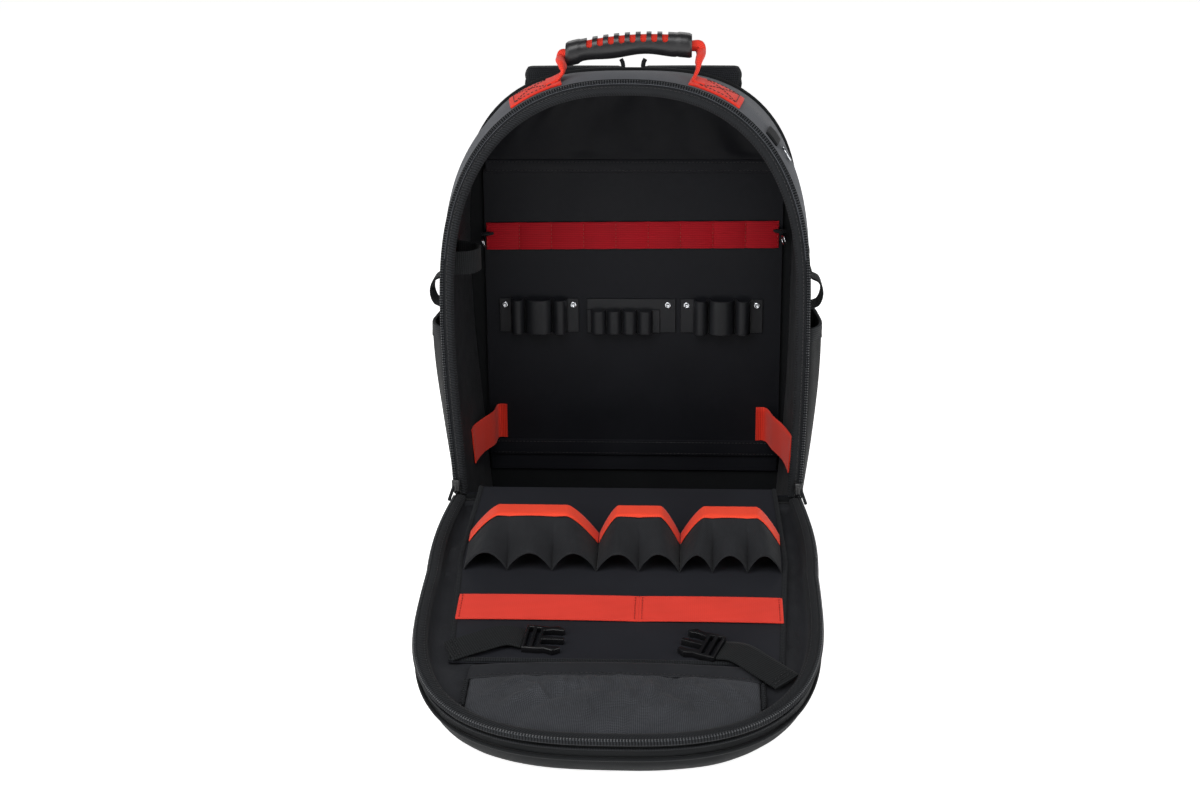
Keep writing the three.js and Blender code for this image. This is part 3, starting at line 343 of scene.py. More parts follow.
def woven(name, low, high, pitch, pattern, relief, roughness, sheen, wear=0.12, blotch=35):
    """Cloth whose colour goes from low between the yarns to high on them, with faint uneven wear."""
    material, tree, shader = new_material(name)
    height = weave_height(tree, pitch, pattern)
    place = add_node(tree, "ShaderNodeTexCoord")
    cloud = add_node(tree, "ShaderNodeTexNoise",
                     {"Vector": place.outputs["Object"], "Scale": 1000 / blotch, "Detail": 4.0})
    colour = add_node(tree, "ShaderNodeMix", {"Factor": height, 6: linear(low), 7: linear(high)},
                      data_type="RGBA")
    worn = add_node(tree, "ShaderNodeMapRange", {
        "Value": cloud.outputs["Fac"], "From Min": 0.3, "From Max": 0.7,
        "To Min": 1 - wear, "To Max": 1 + wear})
    shade = add_node(tree, "ShaderNodeVectorMath", {0: colour.outputs[2], "Scale": worn.outputs[0]},
                     operation="SCALE")
    rough = add_node(tree, "ShaderNodeMapRange", {
        "Value": cloud.outputs["Fac"], "From Min": 0.3, "From Max": 0.7,
        "To Min": roughness - 0.05, "To Max": roughness + 0.05})
    bump = add_node(tree, "ShaderNodeBump", {"Height": height, "Distance": relief * MM, "Strength": 0.8})
    tree.links.new(shade.outputs[0], shader.inputs["Base Color"])
    tree.links.new(rough.outputs[0], shader.inputs["Roughness"])
    tree.links.new(bump.outputs[0], shader.inputs["Normal"])
    shader.inputs["Sheen Weight"].default_value = sheen
    shader.inputs["Sheen Roughness"].default_value = 0.5
    shader.inputs["Specular IOR Level"].default_value = 0.12
    return material


# Black polyester, plain woven from thick yarn and coated behind: matt, with a fine grid of yarn.
# The yarns are 0.6 mm apart; they are drawn 1.8 mm apart so that they show.
black_polyester = woven("black_polyester_weave", "#060708", "#191b1d", 1.8, "plain", 0.25, 0.72, 0.06)
# Nylon lining: thin and smooth, with a soft shine on its folds
lining_nylon = woven("black_nylon_lining", "#0d0e11", "#16171c", 1.6, "plain", 0.08, 0.5, 0.04)

WALL_FOOT = BASE_HEIGHT + GAP
FOOT_SHARE = share_at(-(HINGE_HEIGHT - WALL_FOOT) / math.cos(LEAN)) / 2
SEAM_SHARE = share_at(SEAM_HEIGHT) / 2
WALL_END = 1 - GAP / (BACK_FRONT - HINGE_Y)


def fade(u, v, edge=0.08):
    """1 inside a panel and 0 at its sewn edges."""
    return np.clip(np.minimum(u, 1 - u) / edge, 0, 1) * np.clip(np.minimum(v, 1 - v) / edge, 0, 1)


def wall(start, end, seed, crumple_in, crumple_out):
    def place(u, v, w):
        loose = fade(u, v)
        inner = crumple_in * waves(u, v, (5, 3), seed) * loose
        outer = crumple_out * waves(u, v, (3, 2), seed + 7) * loose
        return body_point(mix(start, end, u), v * WALL_END, (w - 1) * BODY_WALL + mix(inner, outer, w))
    return place


for side, name in ((-1, "side_panel_left"), (1, "side_panel_right")):
    start, end = (FOOT_SHARE, SEAM_SHARE) if side < 0 else (1 - FOOT_SHARE, 1 - SEAM_SHARE)
    panel_place = wall(start, end, side * 3.0, 0.8, 0.9)
    panel = sheet(name + "_cloth", panel_place, 70, 44, black_polyester, lining_nylon)
    carried(panel, "black_cloth", name)

# Top gusset
# Dark grey polyester over foam, from one side seam over the top to the other. It carries the handle.
grey_polyester = woven("grey_polyester_weave", "#424448", "#595b60", 1.8, "plain", 0.2, 0.75, 0.08, 0.06)
SEAM_GAP = GAP / (2.2 * OPENING_HEIGHT)
gusset = sheet("top_gusset_cloth", wall(SEAM_SHARE + SEAM_GAP, 1 - SEAM_SHARE - SEAM_GAP, 1.5, 1.2, 0.8),
               150, 40, grey_polyester, lining_nylon)
carried(gusset, "grey_cloth", "top_gusset")

# Seams of the gusset
# The grey gusset is lapped over each black side panel and held by one row of black lockstitch.
def joined_mesh(name, solids, material, crease=40):
    """Join many small solids, each a list of points and faces, into one object."""
    places, faces, total = [], [], 0
    for solid_places, solid_faces in solids:
        places.append(np.asarray(solid_places))
        faces += [tuple(k + total for k in face) for face in solid_faces]
        total += len(solid_places)
    return make_piece(name, np.concatenate(places), faces, [material], crease=crease)


def unit(value):
    value = np.asarray(value, float)
    return value / np.maximum(np.linalg.norm(value, axis=-1, keepdims=True), 1e-9)


def even_steps(path, pitch):
    """Points every pitch along a path, with the direction of the path at each."""
    path = np.asarray(path, float)
    length = np.concatenate([[0], np.cumsum(np.linalg.norm(np.diff(path, axis=0), axis=1))])
    count = max(2, int(length[-1] / pitch))
    at = (np.arange(count) + 0.5) / count * length[-1]
    places = np.stack([np.interp(at, length, path[:, k]) for k in range(3)], axis=-1)
    ahead = np.stack([np.interp(at + 0.5, length, path[:, k]) for k in range(3)], axis=-1)
    behind = np.stack([np.interp(at - 0.5, length, path[:, k]) for k in range(3)], axis=-1)
    return places, unit(ahead - behind)


STITCH_PITCH, STITCH_LENGTH, STITCH_WIDTH = 4.0, 3.0, 0.9


def stitches(name, paths, facing, material):
    """Rows of single stitches, each a small rounded bar of thread that lies on the cloth."""
    solids = []
    for path, normal in zip(paths, facing):
        places, along = even_steps(path, STITCH_PITCH)
        across = unit(np.cross(along, normal))
        for place, run, side in zip(places, along, across):
            top = np.cross(side, run)
            around = [side * math.cos(turn) + top * math.sin(turn) for turn in (0.8, 2.4, 3.9, 5.5)]
            ring = [place + run * STITCH_LENGTH * end + spoke * STITCH_WIDTH / 2
                    for end in (-0.32, 0.32) for spoke in around]
            tips = [place - run * STITCH_LENGTH / 2, place + run * STITCH_LENGTH / 2]
            faces = [(k, (k + 1) % 4, (k + 1) % 4 + 4, k + 4) for k in range(4)]
            faces += [((k + 1) % 4, k, 8) for k in range(4)] + [(k + 4, (k + 1) % 4 + 4, 9) for k in range(4)]
            solids.append((ring + tips, faces))
    return joined_mesh(name, solids, material, crease=80)


def plain_finish(name, code, roughness, grain_mm, relief, specular=0.5, coat=0.0, metallic=0.0):
    """A moulded or plated surface of one colour, with a fine grain and faint uneven gloss."""
    material, tree, shader = new_material(name)
    place = add_node(tree, "ShaderNodeTexCoord")
    grain = add_node(tree, "ShaderNodeTexNoise",
                     {"Vector": place.outputs["Object"], "Scale": 1000 / grain_mm, "Detail": 2.0})
    handling = add_node(tree, "ShaderNodeTexNoise", {"Vector": place.outputs["Object"], "Scale": 45.0})
    rough = add_node(tree, "ShaderNodeMapRange", {
        "Value": handling.outputs["Fac"], "From Min": 0.3, "From Max": 0.7,
        "To Min": max(0.05, roughness - 0.07), "To Max": roughness + 0.07})
    worn = add_node(tree, "ShaderNodeMapRange", {
        "Value": handling.outputs["Fac"], "From Min": 0.3, "From Max": 0.7, "To Min": 0.9, "To Max": 1.12})
    shade = add_node(tree, "ShaderNodeVectorMath", {0: linear(code)[:3], "Scale": worn.outputs[0]},
                     operation="SCALE")
    bump = add_node(tree, "ShaderNodeBump", {
        "Height": grain.outputs["Fac"], "Distance": relief * MM, "Strength": 0.6})
    tree.links.new(shade.outputs[0], shader.inputs["Base Color"])
    tree.links.new(rough.outputs[0], shader.inputs["Roughness"])
    tree.links.new(bump.outputs[0], shader.inputs["Normal"])
    shader.inputs["Specular IOR Level"].default_value = specular
    shader.inputs["Coat Weight"].default_value = coat
    shader.inputs["Metallic"].default_value = metallic
    return material


# Bonded polyester thread, black, with a slight shine
black_thread = plain_finish("black_bonded_thread", "#1a1a1c", 0.5, 0.8, 0.05)
share = np.linspace(0.02, 0.97, 40)
seam_paths, seam_normals = [], []
for t in (SEAM_SHARE + 0.004, 1 - SEAM_SHARE - 0.004):
    seam_paths.append(body_point(np.full(40, t), share, 0.3))
    seam_normals.append(unit(body_point(t, 0.5, 10) - body_point(t, 0.5, 0)))
carried(stitches("gusset_seam_stitches", seam_paths, seam_normals, black_thread), "black_cloth")

# Back panel and front sill
# The back panel is a flat foam-filled plate, and its outline is bound with a corded edge. The sill is the low
# wall under the opening, to which the lid is sewn.
def loft(name, loops, material, crease=40, closed_ends=True):
    """A closed skin through loops of as many points each, with its coordinates along and around."""
    grid = np.asarray(loops)
    rows, count = grid.shape[:2]
    wrapped = np.concatenate([grid, grid[:, :1]], axis=1)
    along = arc_lengths(wrapped, 0)
    around = arc_lengths(wrapped, 1)
    places = wrapped.reshape(-1, 3)
    uv = np.stack([around, along], axis=-1).reshape(-1, 2)
    across = count + 1
    faces = [(r * across + k, r * across + k + 1, (r + 1) * across + k + 1, (r + 1) * across + k)
             for r in range(rows - 1) for k in range(count)]
    if closed_ends:
        centres = np.stack([grid[0].mean(axis=0), grid[-1].mean(axis=0)])
        first, last = len(places), len(places) + 1
        places = np.concatenate([places, centres])
        uv = np.concatenate([uv, uv[:1], uv[-1:]])
        start = (rows - 1) * (count + 1)
        faces += [(k + 1, k, first) for k in range(count)]
        faces += [(start + k, start + k + 1, last) for k in range(count)]
    piece = make_piece(name, places, faces, [material], uv, crease=crease)
    shape = bmesh.new()
    shape.from_mesh(piece.data)
    bmesh.ops.remove_doubles(shape, verts=shape.verts, dist=1e-6)
    bmesh.ops.recalc_face_normals(shape, faces=shape.faces)
    shape.to_mesh(piece.data)
    shape.free()
    return piece


def tube(name, path, radius, material, sides=10, flat=1.0, closed=False):
    """A cord or piping of round section along a path; flat squashes it along the second axis."""
    path = np.asarray(path, float)
    along = unit(np.gradient(path, axis=0))
    side = unit(np.cross(along[0], (0.13, 0.31, 1.0)))
    loops = []
    for place, run in zip(path, along):
        side = unit(side - run * np.dot(side, run))
        top = np.cross(run, side)
        loops.append([place + radius * (math.cos(a) * side + flat * math.sin(a) * top)
                      for a in np.arange(sides) / sides * 2 * math.pi])
    return loft(name, loops, material, crease=60)


BACK_STEPS = 120
back_t = np.linspace(FOOT_SHARE, 1 - FOOT_SHARE, BACK_STEPS + 1)


def back_loop(y, inset):
    edge = body_point(back_t, 1.0, -inset)
    edge[:, 1] = y
    edge[:, 2] = np.maximum(WALL_FOOT, edge[:, 2])
    return edge


centre = np.array([0, 0, 260.0])
back_rows = [back_loop(BACK_FRONT, 0), back_loop(BASE_DEPTH / 2 - 2.2, 0),
             back_loop(BASE_DEPTH / 2 - 0.7, 0.7), back_loop(BASE_DEPTH / 2, 2.4)]
for inner_share in (0.75, 0.5, 0.25):
    row = back_loop(BASE_DEPTH / 2, 2.4)
    row[:, 0] *= inner_share
    row[:, 2] = mix(centre[2], row[:, 2], inner_share)
    back_rows.append(row)
carried(loft("back_panel_cloth", back_rows, black_polyester), "black_cloth", "back_panel")

# Corded edge: cloth wrapped round a 5 mm cord and sewn between wall and back
PIPING_RADIUS = 2.6
piping_path = back_loop(BASE_DEPTH / 2 - 3.2, -0.6)
carried(tube("back_piping", piping_path, PIPING_RADIUS, black_polyester), "black_cloth")

footing = -(HINGE_HEIGHT - WALL_FOOT) / math.cos(LEAN)


def half_width_at(h, grow, squareness=SQUARENESS):
    h = np.asarray(h, float)
    below = HINGE_WIDTH / 2 + (HINGE_WIDTH - BASE_WIDTH) / 2 * h / HINGE_DROP + grow
    low = mix(HINGE_WIDTH, OPENING_WIDTH, np.sin(np.clip(h / WIDEST_HEIGHT, 0, 1) * math.pi / 2)) / 2 + grow
    rise = np.clip((h - WIDEST_HEIGHT) / (OPENING_HEIGHT - WIDEST_HEIGHT + grow), 0, 1)
    high = (OPENING_WIDTH / 2 + grow) * (1 - rise ** squareness) ** (1 / squareness)
    return np.where(h < 0, below, np.where(h < WIDEST_HEIGHT, low, high))


def sill_place(u, v, w):
    h = mix(footing, -GAP, v)
    behind = w * BODY_WALL + 0.5 * waves(u, v, (5, 2), 4.0) * fade(u, v) * (1 - w)
    foot = np.where(v == 0, behind * math.tan(LEAN), 0)
    return opening_point((2 * u - 1) * (half_width_at(h, BEYOND_ZIP - BODY_WALL) - 2 * GAP), h + foot, behind)


front_sill = sheet("front_sill_cloth", sill_place, 60, 12, lining_nylon, black_polyester)
carried(front_sill, "black_cloth", "front_sill")

# Base
# One moulded tray of tough black rubber that the bag stands on, with a rolled rim and shallow ribs on its
# sides.
# Moulded rubber, dull and finely pebbled
moulded_rubber = plain_finish("black_moulded_rubber", "#17181a", 0.62, 1.2, 0.18, 0.25)
BASE_WALL, BASE_CORNER = 4, 10


def foot_t(z):
    return share_at(-(HINGE_HEIGHT - z) / math.cos(LEAN)) / 2


def base_loop(z, inset):
    left, back = body_point(foot_t(z), 0.0, -inset), body_point(foot_t(z), 1.0, -inset)
    front, rear = -BASE_DEPTH / 2 + z * math.tan(LEAN) + inset, BASE_DEPTH / 2 - inset
    corners = [(left[0], front), (-left[0], front), (-back[0], rear), (back[0], rear)]
    radius = max(2, BASE_CORNER - inset)
    loop = []
    for k, (x, y) in enumerate(corners):
        middle = (x - math.copysign(radius, x), y + (radius if k < 2 else -radius))
        for step in range(13):
            angle = math.pi * (1 + k / 2) + step / 12 * math.pi / 2
            loop.append((middle[0] + radius * math.cos(angle), middle[1] + radius * math.sin(angle), z))
        following = corners[(k + 1) % 4]
        for step in range(1, 8):
            spot = mix(np.array([x, y]), np.array(following), step / 8)
            if k % 2 == 0:
                spot[1] = y
            loop.append((spot[0], spot[1], z))
    return loop


base_rows = [base_loop(z, inset) for z, inset in (
    (0, 5.5), (0.6, 3.6), (2.2, 1.6), (5, 0), (8, 0), (9, 0.8), (11, 0.8), (12, 0), (16, 0), (17, 0.8),
    (19, 0.8), (20, 0), (25, 0), (26.5, -0.9), (30.5, -0.9), (BASE_HEIGHT, 0.4), (BASE_HEIGHT, BASE_WALL),
    (BASE_WALL, BASE_WALL))]
carried(loft("base_tray", base_rows, moulded_rubber), "black_rubber", "base")

# Facing of the opening
# A padded band of twill tape sewn round the inside of the opening, with a folded inner edge.
# The twill's ridges are 1 mm apart; they are drawn 2.6 mm apart so that they show.
black_twill = woven("black_twill_tape", "#050506", "#26282b", 2.6, "twill", 0.3, 0.7, 0.06)
ZIP_INSIDE, ZIP_OUTSIDE = 2.5, 2.5
FACING_WIDTH, FACING_TOP_WIDTH, FACING_THICKNESS, FACING_ROLL = 6, 7.5, 3, 5
TRIM_START = share_at(GAP) / 2
FACING_OUT = -ZIP_INSIDE - GAP


def facing_in(t):
    share = 1 - np.abs(2 * t - 1)
    return FACING_OUT - mix(FACING_WIDTH, FACING_TOP_WIDTH, smooth((share - 0.45) / 0.4))


def facing_place(u, v, w):
    t = mix(TRIM_START, 1 - TRIM_START, u)
    x, h = arch_point(t, mix(facing_in(t), FACING_OUT, v))
    crown = FACING_THICKNESS * (0.35 + 0.65 * np.sin(math.pi * np.clip(0.15 + 0.75 * v, 0, 1)) ** 0.8)
    return opening_point(x, np.maximum(GAP, h), mix(-GAP - crown, mix(FACING_ROLL, -GAP, smooth(v)), w))


facing = sheet("opening_facing_band", facing_place, 220, 10, black_twill)
carried(facing, "black_cloth", "opening_facing")
trim_t = np.linspace(TRIM_START, 1 - TRIM_START, 260)


def round_opening(grow, behind, low=GAP):
    x, h = arch_point(trim_t, grow)
    return opening_point(x, np.maximum(low, h), behind)


facing_front = unit(opening_point(0, 0, -1) - opening_point(0, 0, 0))
facing_seam = round_opening(FACING_OUT - 1.3, -GAP - FACING_THICKNESS)
carried(stitches("facing_stitches", [facing_seam], [facing_front], black_thread), "black_cloth")

# Zip of the body
# A nylon coil zip: woven tape with the coil sewn along it. The coil's turns are 1.6 mm apart and are drawn
# 2.6 mm apart. Outside it the gusset ends in a thin corded edge.
# Woven polyester tape, black with close cross ribs, also used for bindings and small loops
zip_tape = woven("black_zip_tape", "#0b0c0d", "#232528", 2.2, "ribs", 0.25, 0.75, 0.05)
# Moulded nylon monofilament, smooth, drawn in a grey much lighter than its black as a painted highlight along
# the coil's turns
painted_highlight_coil = plain_finish("coil_nylon_painted_highlight", "#3a3c3f", 0.3, 0.9, 0.04, 0.5)


def zip_tape_place(u, v, w):
    x, h = arch_point(mix(TRIM_START, 1 - TRIM_START, u), mix(-ZIP_INSIDE, ZIP_OUTSIDE, v))
    thickness = 0.4 + 0.6 * np.sin(math.pi * v) ** 0.5
    return opening_point(x, np.maximum(GAP, h), -GAP - (1 - w) * thickness)


COIL_PITCH = 2.6


def coil(name, path, outward, front, width, height, material):
    """The turns of a zip's coil: a row of small bars across the tape, each with two rounded heads."""
    places, along = even_steps(path, COIL_PITCH)
    normal = unit(outward)
    solids = []
    for place, run in zip(places, along):
        side = unit(np.cross(run, normal))
        rings = []
        for shift, size in ((-0.5, 0.5), (-0.3, 1.0), (0, 0.5), (0.3, 1.0), (0.5, 0.5)):
            for a, b in ((-1, 0), (-0.6, 1), (0.6, 1), (1, 0)):
                rings.append(place + side * width * shift + run * COIL_PITCH * 0.3 * a * size
                             + normal * (front + height * b * size))
        faces = [(r * 4 + k, r * 4 + (k + 1) % 4, (r + 1) * 4 + (k + 1) % 4, (r + 1) * 4 + k)
                 for r in range(4) for k in range(4)] + [(3, 2, 1, 0), (16, 17, 18, 19)]
        solids.append((rings, faces))
    return joined_mesh(name, solids, material, crease=50)


zip_band = sheet("body_zip_tape", zip_tape_place, 240, 6, zip_tape)
carried(zip_band, "black_plastic", "body_zip")
zip_coil = coil("body_zip_coil", round_opening(1.1, 0.0), facing_front, 0.9, 3.2, 2.2, painted_highlight_coil)
carried(zip_coil, "black_plastic")
carried(tube("opening_piping", round_opening(2.5, 0.8), 1.0, black_polyester, sides=8), "black_cloth")

# Zip sliders
# Two cast sliders, one at each end of the zip, each with a short pull of black cord that hangs past the
# corner.
# Die-cast zinc under black paint, with a thin glossy coat
slider_finish = plain_finish("black_painted_zinc", "#1b1c1e", 0.35, 1.5, 0.05, 0.5, 0.2)


def rounded_block(name, frame_of, size, material, bevel=1.0):
    """A small moulded or cast block with rounded edges. frame_of places its points, in millimetres."""
    corners = [frame_of(a * size[0] / 2, b * size[1] / 2, c * size[2] / 2)
               for c in (-1, 1) for b in (-1, 1) for a in (-1, 1)]
    faces = [(0, 2, 3, 1), (4, 5, 7, 6), (0, 1, 5, 4), (2, 6, 7, 3), (0, 4, 6, 2), (1, 3, 7, 5)]
    piece = make_piece(name, corners, faces, [material])
    shape = bmesh.new()
    shape.from_mesh(piece.data)
    bmesh.ops.bevel(shape, geom=list(shape.edges), offset=bevel * MM, segments=3, affect="EDGES", profile=0.5)
    shape.to_mesh(piece.data)
    shape.free()
    piece.data.shade_smooth()
    return piece


def join_pieces(name, pieces):
    """Make one object of several; all keep their materials."""
    shape = bmesh.new()
    materials = []
    for piece in pieces:
        slots = []
        for material in piece.data.materials:
            if material not in materials:
                materials.append(material)
            slots.append(materials.index(material))
        first = len(shape.faces)
        shape.from_mesh(piece.data)
        shape.faces.ensure_lookup_table()
        for face in shape.faces[first:]:
            face.material_index = slots[face.material_index]
        bpy.data.objects.remove(piece)
    mesh = bpy.data.meshes.new(name)
    for material in materials:
        mesh.materials.append(material)
    shape.to_mesh(mesh)
    shape.free()
    whole = bpy.data.objects.new(name, mesh)
    bpy.context.scene.collection.objects.link(whole)
    return whole


for side, name in ((-1, "left"), (1, "right")):
    x = side * (HINGE_WIDTH / 2 + 0.5)

    def on_slider(a, b, c, x=x):
        return opening_point(x + a, 9.5 + b, -6.2 + c)

    body = rounded_block("slider_body", on_slider, (8.4, 12.5, 4.2), slider_finish, 1.4)
    bridge = rounded_block("slider_bridge", lambda a, b, c: on_slider(a, b - 1, c - 2.6), (3, 8, 1.6),
                           slider_finish, 0.6)
    pull_path = [opening_point(x + side * (2 + 5 * s), 9 - 14 * s, -8.2 - 1.6 * math.sin(math.pi * s))
                 for s in np.linspace(0, 1, 14)]
    pull = tube("slider_pull", pull_path, 1.7, zip_tape, sides=8)
    slider = join_pieces(f"zip_slider_{name}_cast", [body, bridge, pull])
    carried(slider, "black_plastic", f"zip_slider_{name}")

# Lining above the board
# Thin nylon, cut too long and gathered behind the board's top band, so that it hangs in soft upright folds.
BOARD_THICKNESS = 3
BOARD_BACK = BACK_FRONT - GAP
BOARD_FRONT = BOARD_BACK - BOARD_THICKNESS - GAP
TOP_BAND_BOTTOM, TOP_BAND_HEIGHT = 398, 13
CEILING = HINGE_HEIGHT + FRONT_RISE - BACK_DROP - BODY_WALL - 6


def back_room(z):
    h = (z - HINGE_HEIGHT) / math.cos(LEAN) / BACK_SHARE
    return half_width_at(h, BEYOND_ZIP + SIDE_BULGE - BODY_WALL - 1, BACK_SQUARENESS) * BACK_NARROWING


def upper_lining_place(u, v, w):
    z = mix(TOP_BAND_BOTTOM + TOP_BAND_HEIGHT + GAP, CEILING, v)
    hang = waves(u + 0.05 * np.sin(3 * v), v, (7, 0.7), 2.0, 1) + 0.25 * waves(u, v, (15, 1.2), 8.0, 1)
    fold = 3.4 + 4.0 * np.clip(hang, -0.6, 0.8) * np.clip(v * 8, 0.25, 1)
    return points(OPENING_SWAY + (2 * u - 1) * (back_room(z) - 2), BOARD_BACK - fold - (1 - w) * 1.0, z)


upper_lining = sheet("upper_lining_cloth", upper_lining_place, 180, 44, lining_nylon, crease=70)
carried(upper_lining, "black_cloth", "upper_lining")

# Tool board
# A stiff sheet covered in smooth black laminate cloth. Two folded bands are sewn across it, and it stands
# against the back panel.
board_laminate = woven("black_board_laminate", "#131417", "#1a1b20", 2.4, "plain", 0.06, 0.48, 0.03, 0.1, 60)
BOARD_WIDTH, BOARD_BOTTOM, BOARD_TOP = 322, 60, 402


def on_board(low, high, front, thickness, half, bow=0.0):
    def place(u, v, w):
        z = mix(low, high, v)
        width = np.minimum(half, np.minimum(BOARD_WIDTH / 2, back_room(z) - 3))
        crown = bow * np.sin(math.pi * v) ** 0.6
        return points((2 * u - 1) * width, front - (1 - w) * (thickness + crown), z)
    return place


def board_place(u, v, w):
    flat = on_board(BOARD_BOTTOM, BOARD_TOP, BOARD_BACK, BOARD_THICKNESS, BOARD_WIDTH / 2)(u, v, w)
    flat[..., 1] -= 0.35 * waves(u, v, (2, 2), 5.0, 2) * fade(u, v, 0.1) * (1 - w)
    return flat


carried(sheet("tool_board_laminate", board_place, 60, 60, board_laminate), "board_cloth", "tool_board")
TOP_BAND_TOP = TOP_BAND_BOTTOM + TOP_BAND_HEIGHT
for name, low, high, half in (("top", TOP_BAND_BOTTOM, TOP_BAND_TOP, BOARD_WIDTH / 2 - 3),
                              ("bottom", 78, 95, BOARD_WIDTH / 2)):
    fold_place = on_board(low, high, BOARD_FRONT, 2.0, half, 0.5)
    fold = sheet(f"board_{name}_band_fold", fold_place, 60, 6, board_laminate)
    carried(fold, "board_cloth", f"board_{name}_band")
board_rows = []
for z in (TOP_BAND_BOTTOM + 2, TOP_BAND_BOTTOM + TOP_BAND_HEIGHT - 2, 80, 93):
    half = min(float(back_room(z)) - 6, BOARD_WIDTH / 2 - 4)
    board_rows.append([(x, BOARD_FRONT - 2.3, z) for x in np.linspace(-half, half, 60)])
forwards = np.array([0, -1.0, 0])
carried(stitches("board_stitches", board_rows, [forwards] * 4, black_thread), "board_cloth")

# Red tool band
# One strip of red elastic, sewn to the board at regular places so that it makes a row of flat loops.
# Its ribs are 1.2 mm apart; they are drawn 2 mm apart so that they show.
red_webbing = woven("red_ribbed_webbing", "#c02619", "#e83f2d", 2.0, "ribs", 0.2, 0.62, 0.1, 0.05)
ELASTIC = 1.5
# The same red ribbed webbing as the handle and side bands, drawn deeper and darker as painted shade for the
# band's place inside the bag
shaded_red_elastic = woven("red_elastic_painted_shade", "#8c0a16", "#ac101e", 2.0, "ribs", 0.15, 0.6, 0.06, 0.05)


def tool_band_place(u, v, w):
    lift = 1.5 * np.abs(np.sin(math.pi * u * 9)) ** 0.6
    z = 313 + 3 * u + v * 29
    return points(mix(-159, 157, u), BOARD_FRONT - (1 - w) * ELASTIC - lift, z)


tool_band = sheet("red_tool_band_elastic", tool_band_place, 180, 8, shaded_red_elastic)
carried(tool_band, "red_webbing", "red_tool_band")
band_rows = []
for k in range(10):
    x = mix(-158, 156, k / 9)
    band_rows.append([(x, BOARD_FRONT - ELASTIC - 0.2, z) for z in np.linspace(314 + k / 3, 341 + k / 3, 10)])
red_thread = plain_finish("red_bonded_thread", "#8f1f18", 0.5, 0.8, 0.05)
carried(stitches("tool_band_stitches", band_rows, [forwards] * 10, red_thread), "red_webbing")

# Rings at the ends of the tool band
# Two small plated rings, each held by a short black loop that is sewn beside the band.
# Nickel-plated steel, bright and nearly smooth
plated_steel = plain_finish("nickel_plated_steel", "#c9ccd0", 0.22, 2.0, 0.02, 0.5, 0.0, 1.0)


def ring(name, middle, axis, radius, wire, material):
    axis = unit(axis)
    first = unit(np.cross(axis, (0.2, 0.9, 0.4)))
    second = np.cross(axis, first)
    turns = np.linspace(0, 2 * math.pi, 33)[:-1]
    loops = []
    for a in turns:
        spoke = math.cos(a) * first + math.sin(a) * second
        loops.append([np.asarray(middle) + spoke * (radius + wire * math.cos(b)) + axis * wire * math.sin(b)
                      for b in np.linspace(0, 2 * math.pi, 11)[:-1]])
    count, sides = len(loops), 10
    faces = [(r * sides + k, r * sides + (k + 1) % sides, ((r + 1) % count) * sides + (k + 1) % sides,
              ((r + 1) % count) * sides + k) for r in range(count) for k in range(sides)]
    return make_piece(name, np.asarray(loops).reshape(-1, 3), faces, [material], crease=80)


for side, name, z in ((-1, "left", 322), (1, "right", 326)):
    keeper_path = [(side * x, BOARD_FRONT - y, z + 9) for x, y in (
        (152, 1), (157, 2), (162, 5), (163, 8), (160, 9.5), (155, 7), (152, 3))]
    keeper = tube(f"ring_keeper_{name}", keeper_path, 1.6, zip_tape, sides=8)
    carried(keeper, "black_cloth")
    ring_centre = (side * 162.0, BOARD_FRONT - 9, z)
    carried(ring(f"inner_ring_{name}", ring_centre, (1, 0.3, 0.2), 5.2, 0.9, plated_steel), "steel")

# Tool loops
# Four strips of flexible black rubber moulded in arches and fixed by silver rivets. The middle pair lies one
# on the other.
# Flexible moulded rubber, a soft satin black
flexible_rubber = plain_finish("black_flexible_rubber", "#1a1b1e", 0.5, 1.6, 0.1, 0.3)
LOOP_THICKNESS = 1.8


def loop_strip(name, start, end, arches, depth, back, low, high):
    path, normal = [], []

    def flat_to(x):
        path.append((x, back - LOOP_THICKNESS / 2))
        normal.append((0, -1))

    flat_to(start)
    for from_x, to_x in arches:
        flat_to(from_x + 0.2)
        reach, rise = (to_x - from_x - LOOP_THICKNESS) / 2, depth - LOOP_THICKNESS / 2
        for angle in np.linspace(0.12, math.pi - 0.12, 17):
            bend = math.sin(angle) ** 0.8
            sway = math.copysign(abs(math.cos(angle)) ** 0.8, math.cos(angle))
            path.append(((from_x + to_x) / 2 - reach * sway, back - rise * bend))
            normal.append((-math.cos(angle), -math.sin(angle)))
        flat_to(to_x - 0.2)
    flat_to(end)
    path, normal = np.array(path), unit(np.array(normal))
    steps = len(path) - 1

    def place(u, v, w):
        at = u * steps
        xy = [np.interp(at, np.arange(steps + 1), path[:, k]) for k in (0, 1)]
        out = [np.interp(at, np.arange(steps + 1), normal[:, k]) for k in (0, 1)]
        shift = (0.5 - w) * LOOP_THICKNESS
        return points(xy[0] + out[0] * shift, xy[1] + out[1] * shift, mix(low, high, v))

    return sheet(name, place, steps, 5, flexible_rubber, crease=50)


def rivet(name, x, z, front):
    rows = []
    for radius, depth in ((3.4, 0.0), (3.4, 0.5), (2.9, 0.9), (2.2, 0.9), (1.9, 0.5), (0.8, 0.4)):
        rows.append([(x + radius * math.cos(a), front - depth, z + radius * math.sin(a))
                     for a in np.linspace(0, 2 * math.pi, 21)[:-1]])
    return loft(name, rows, plated_steel, crease=50)


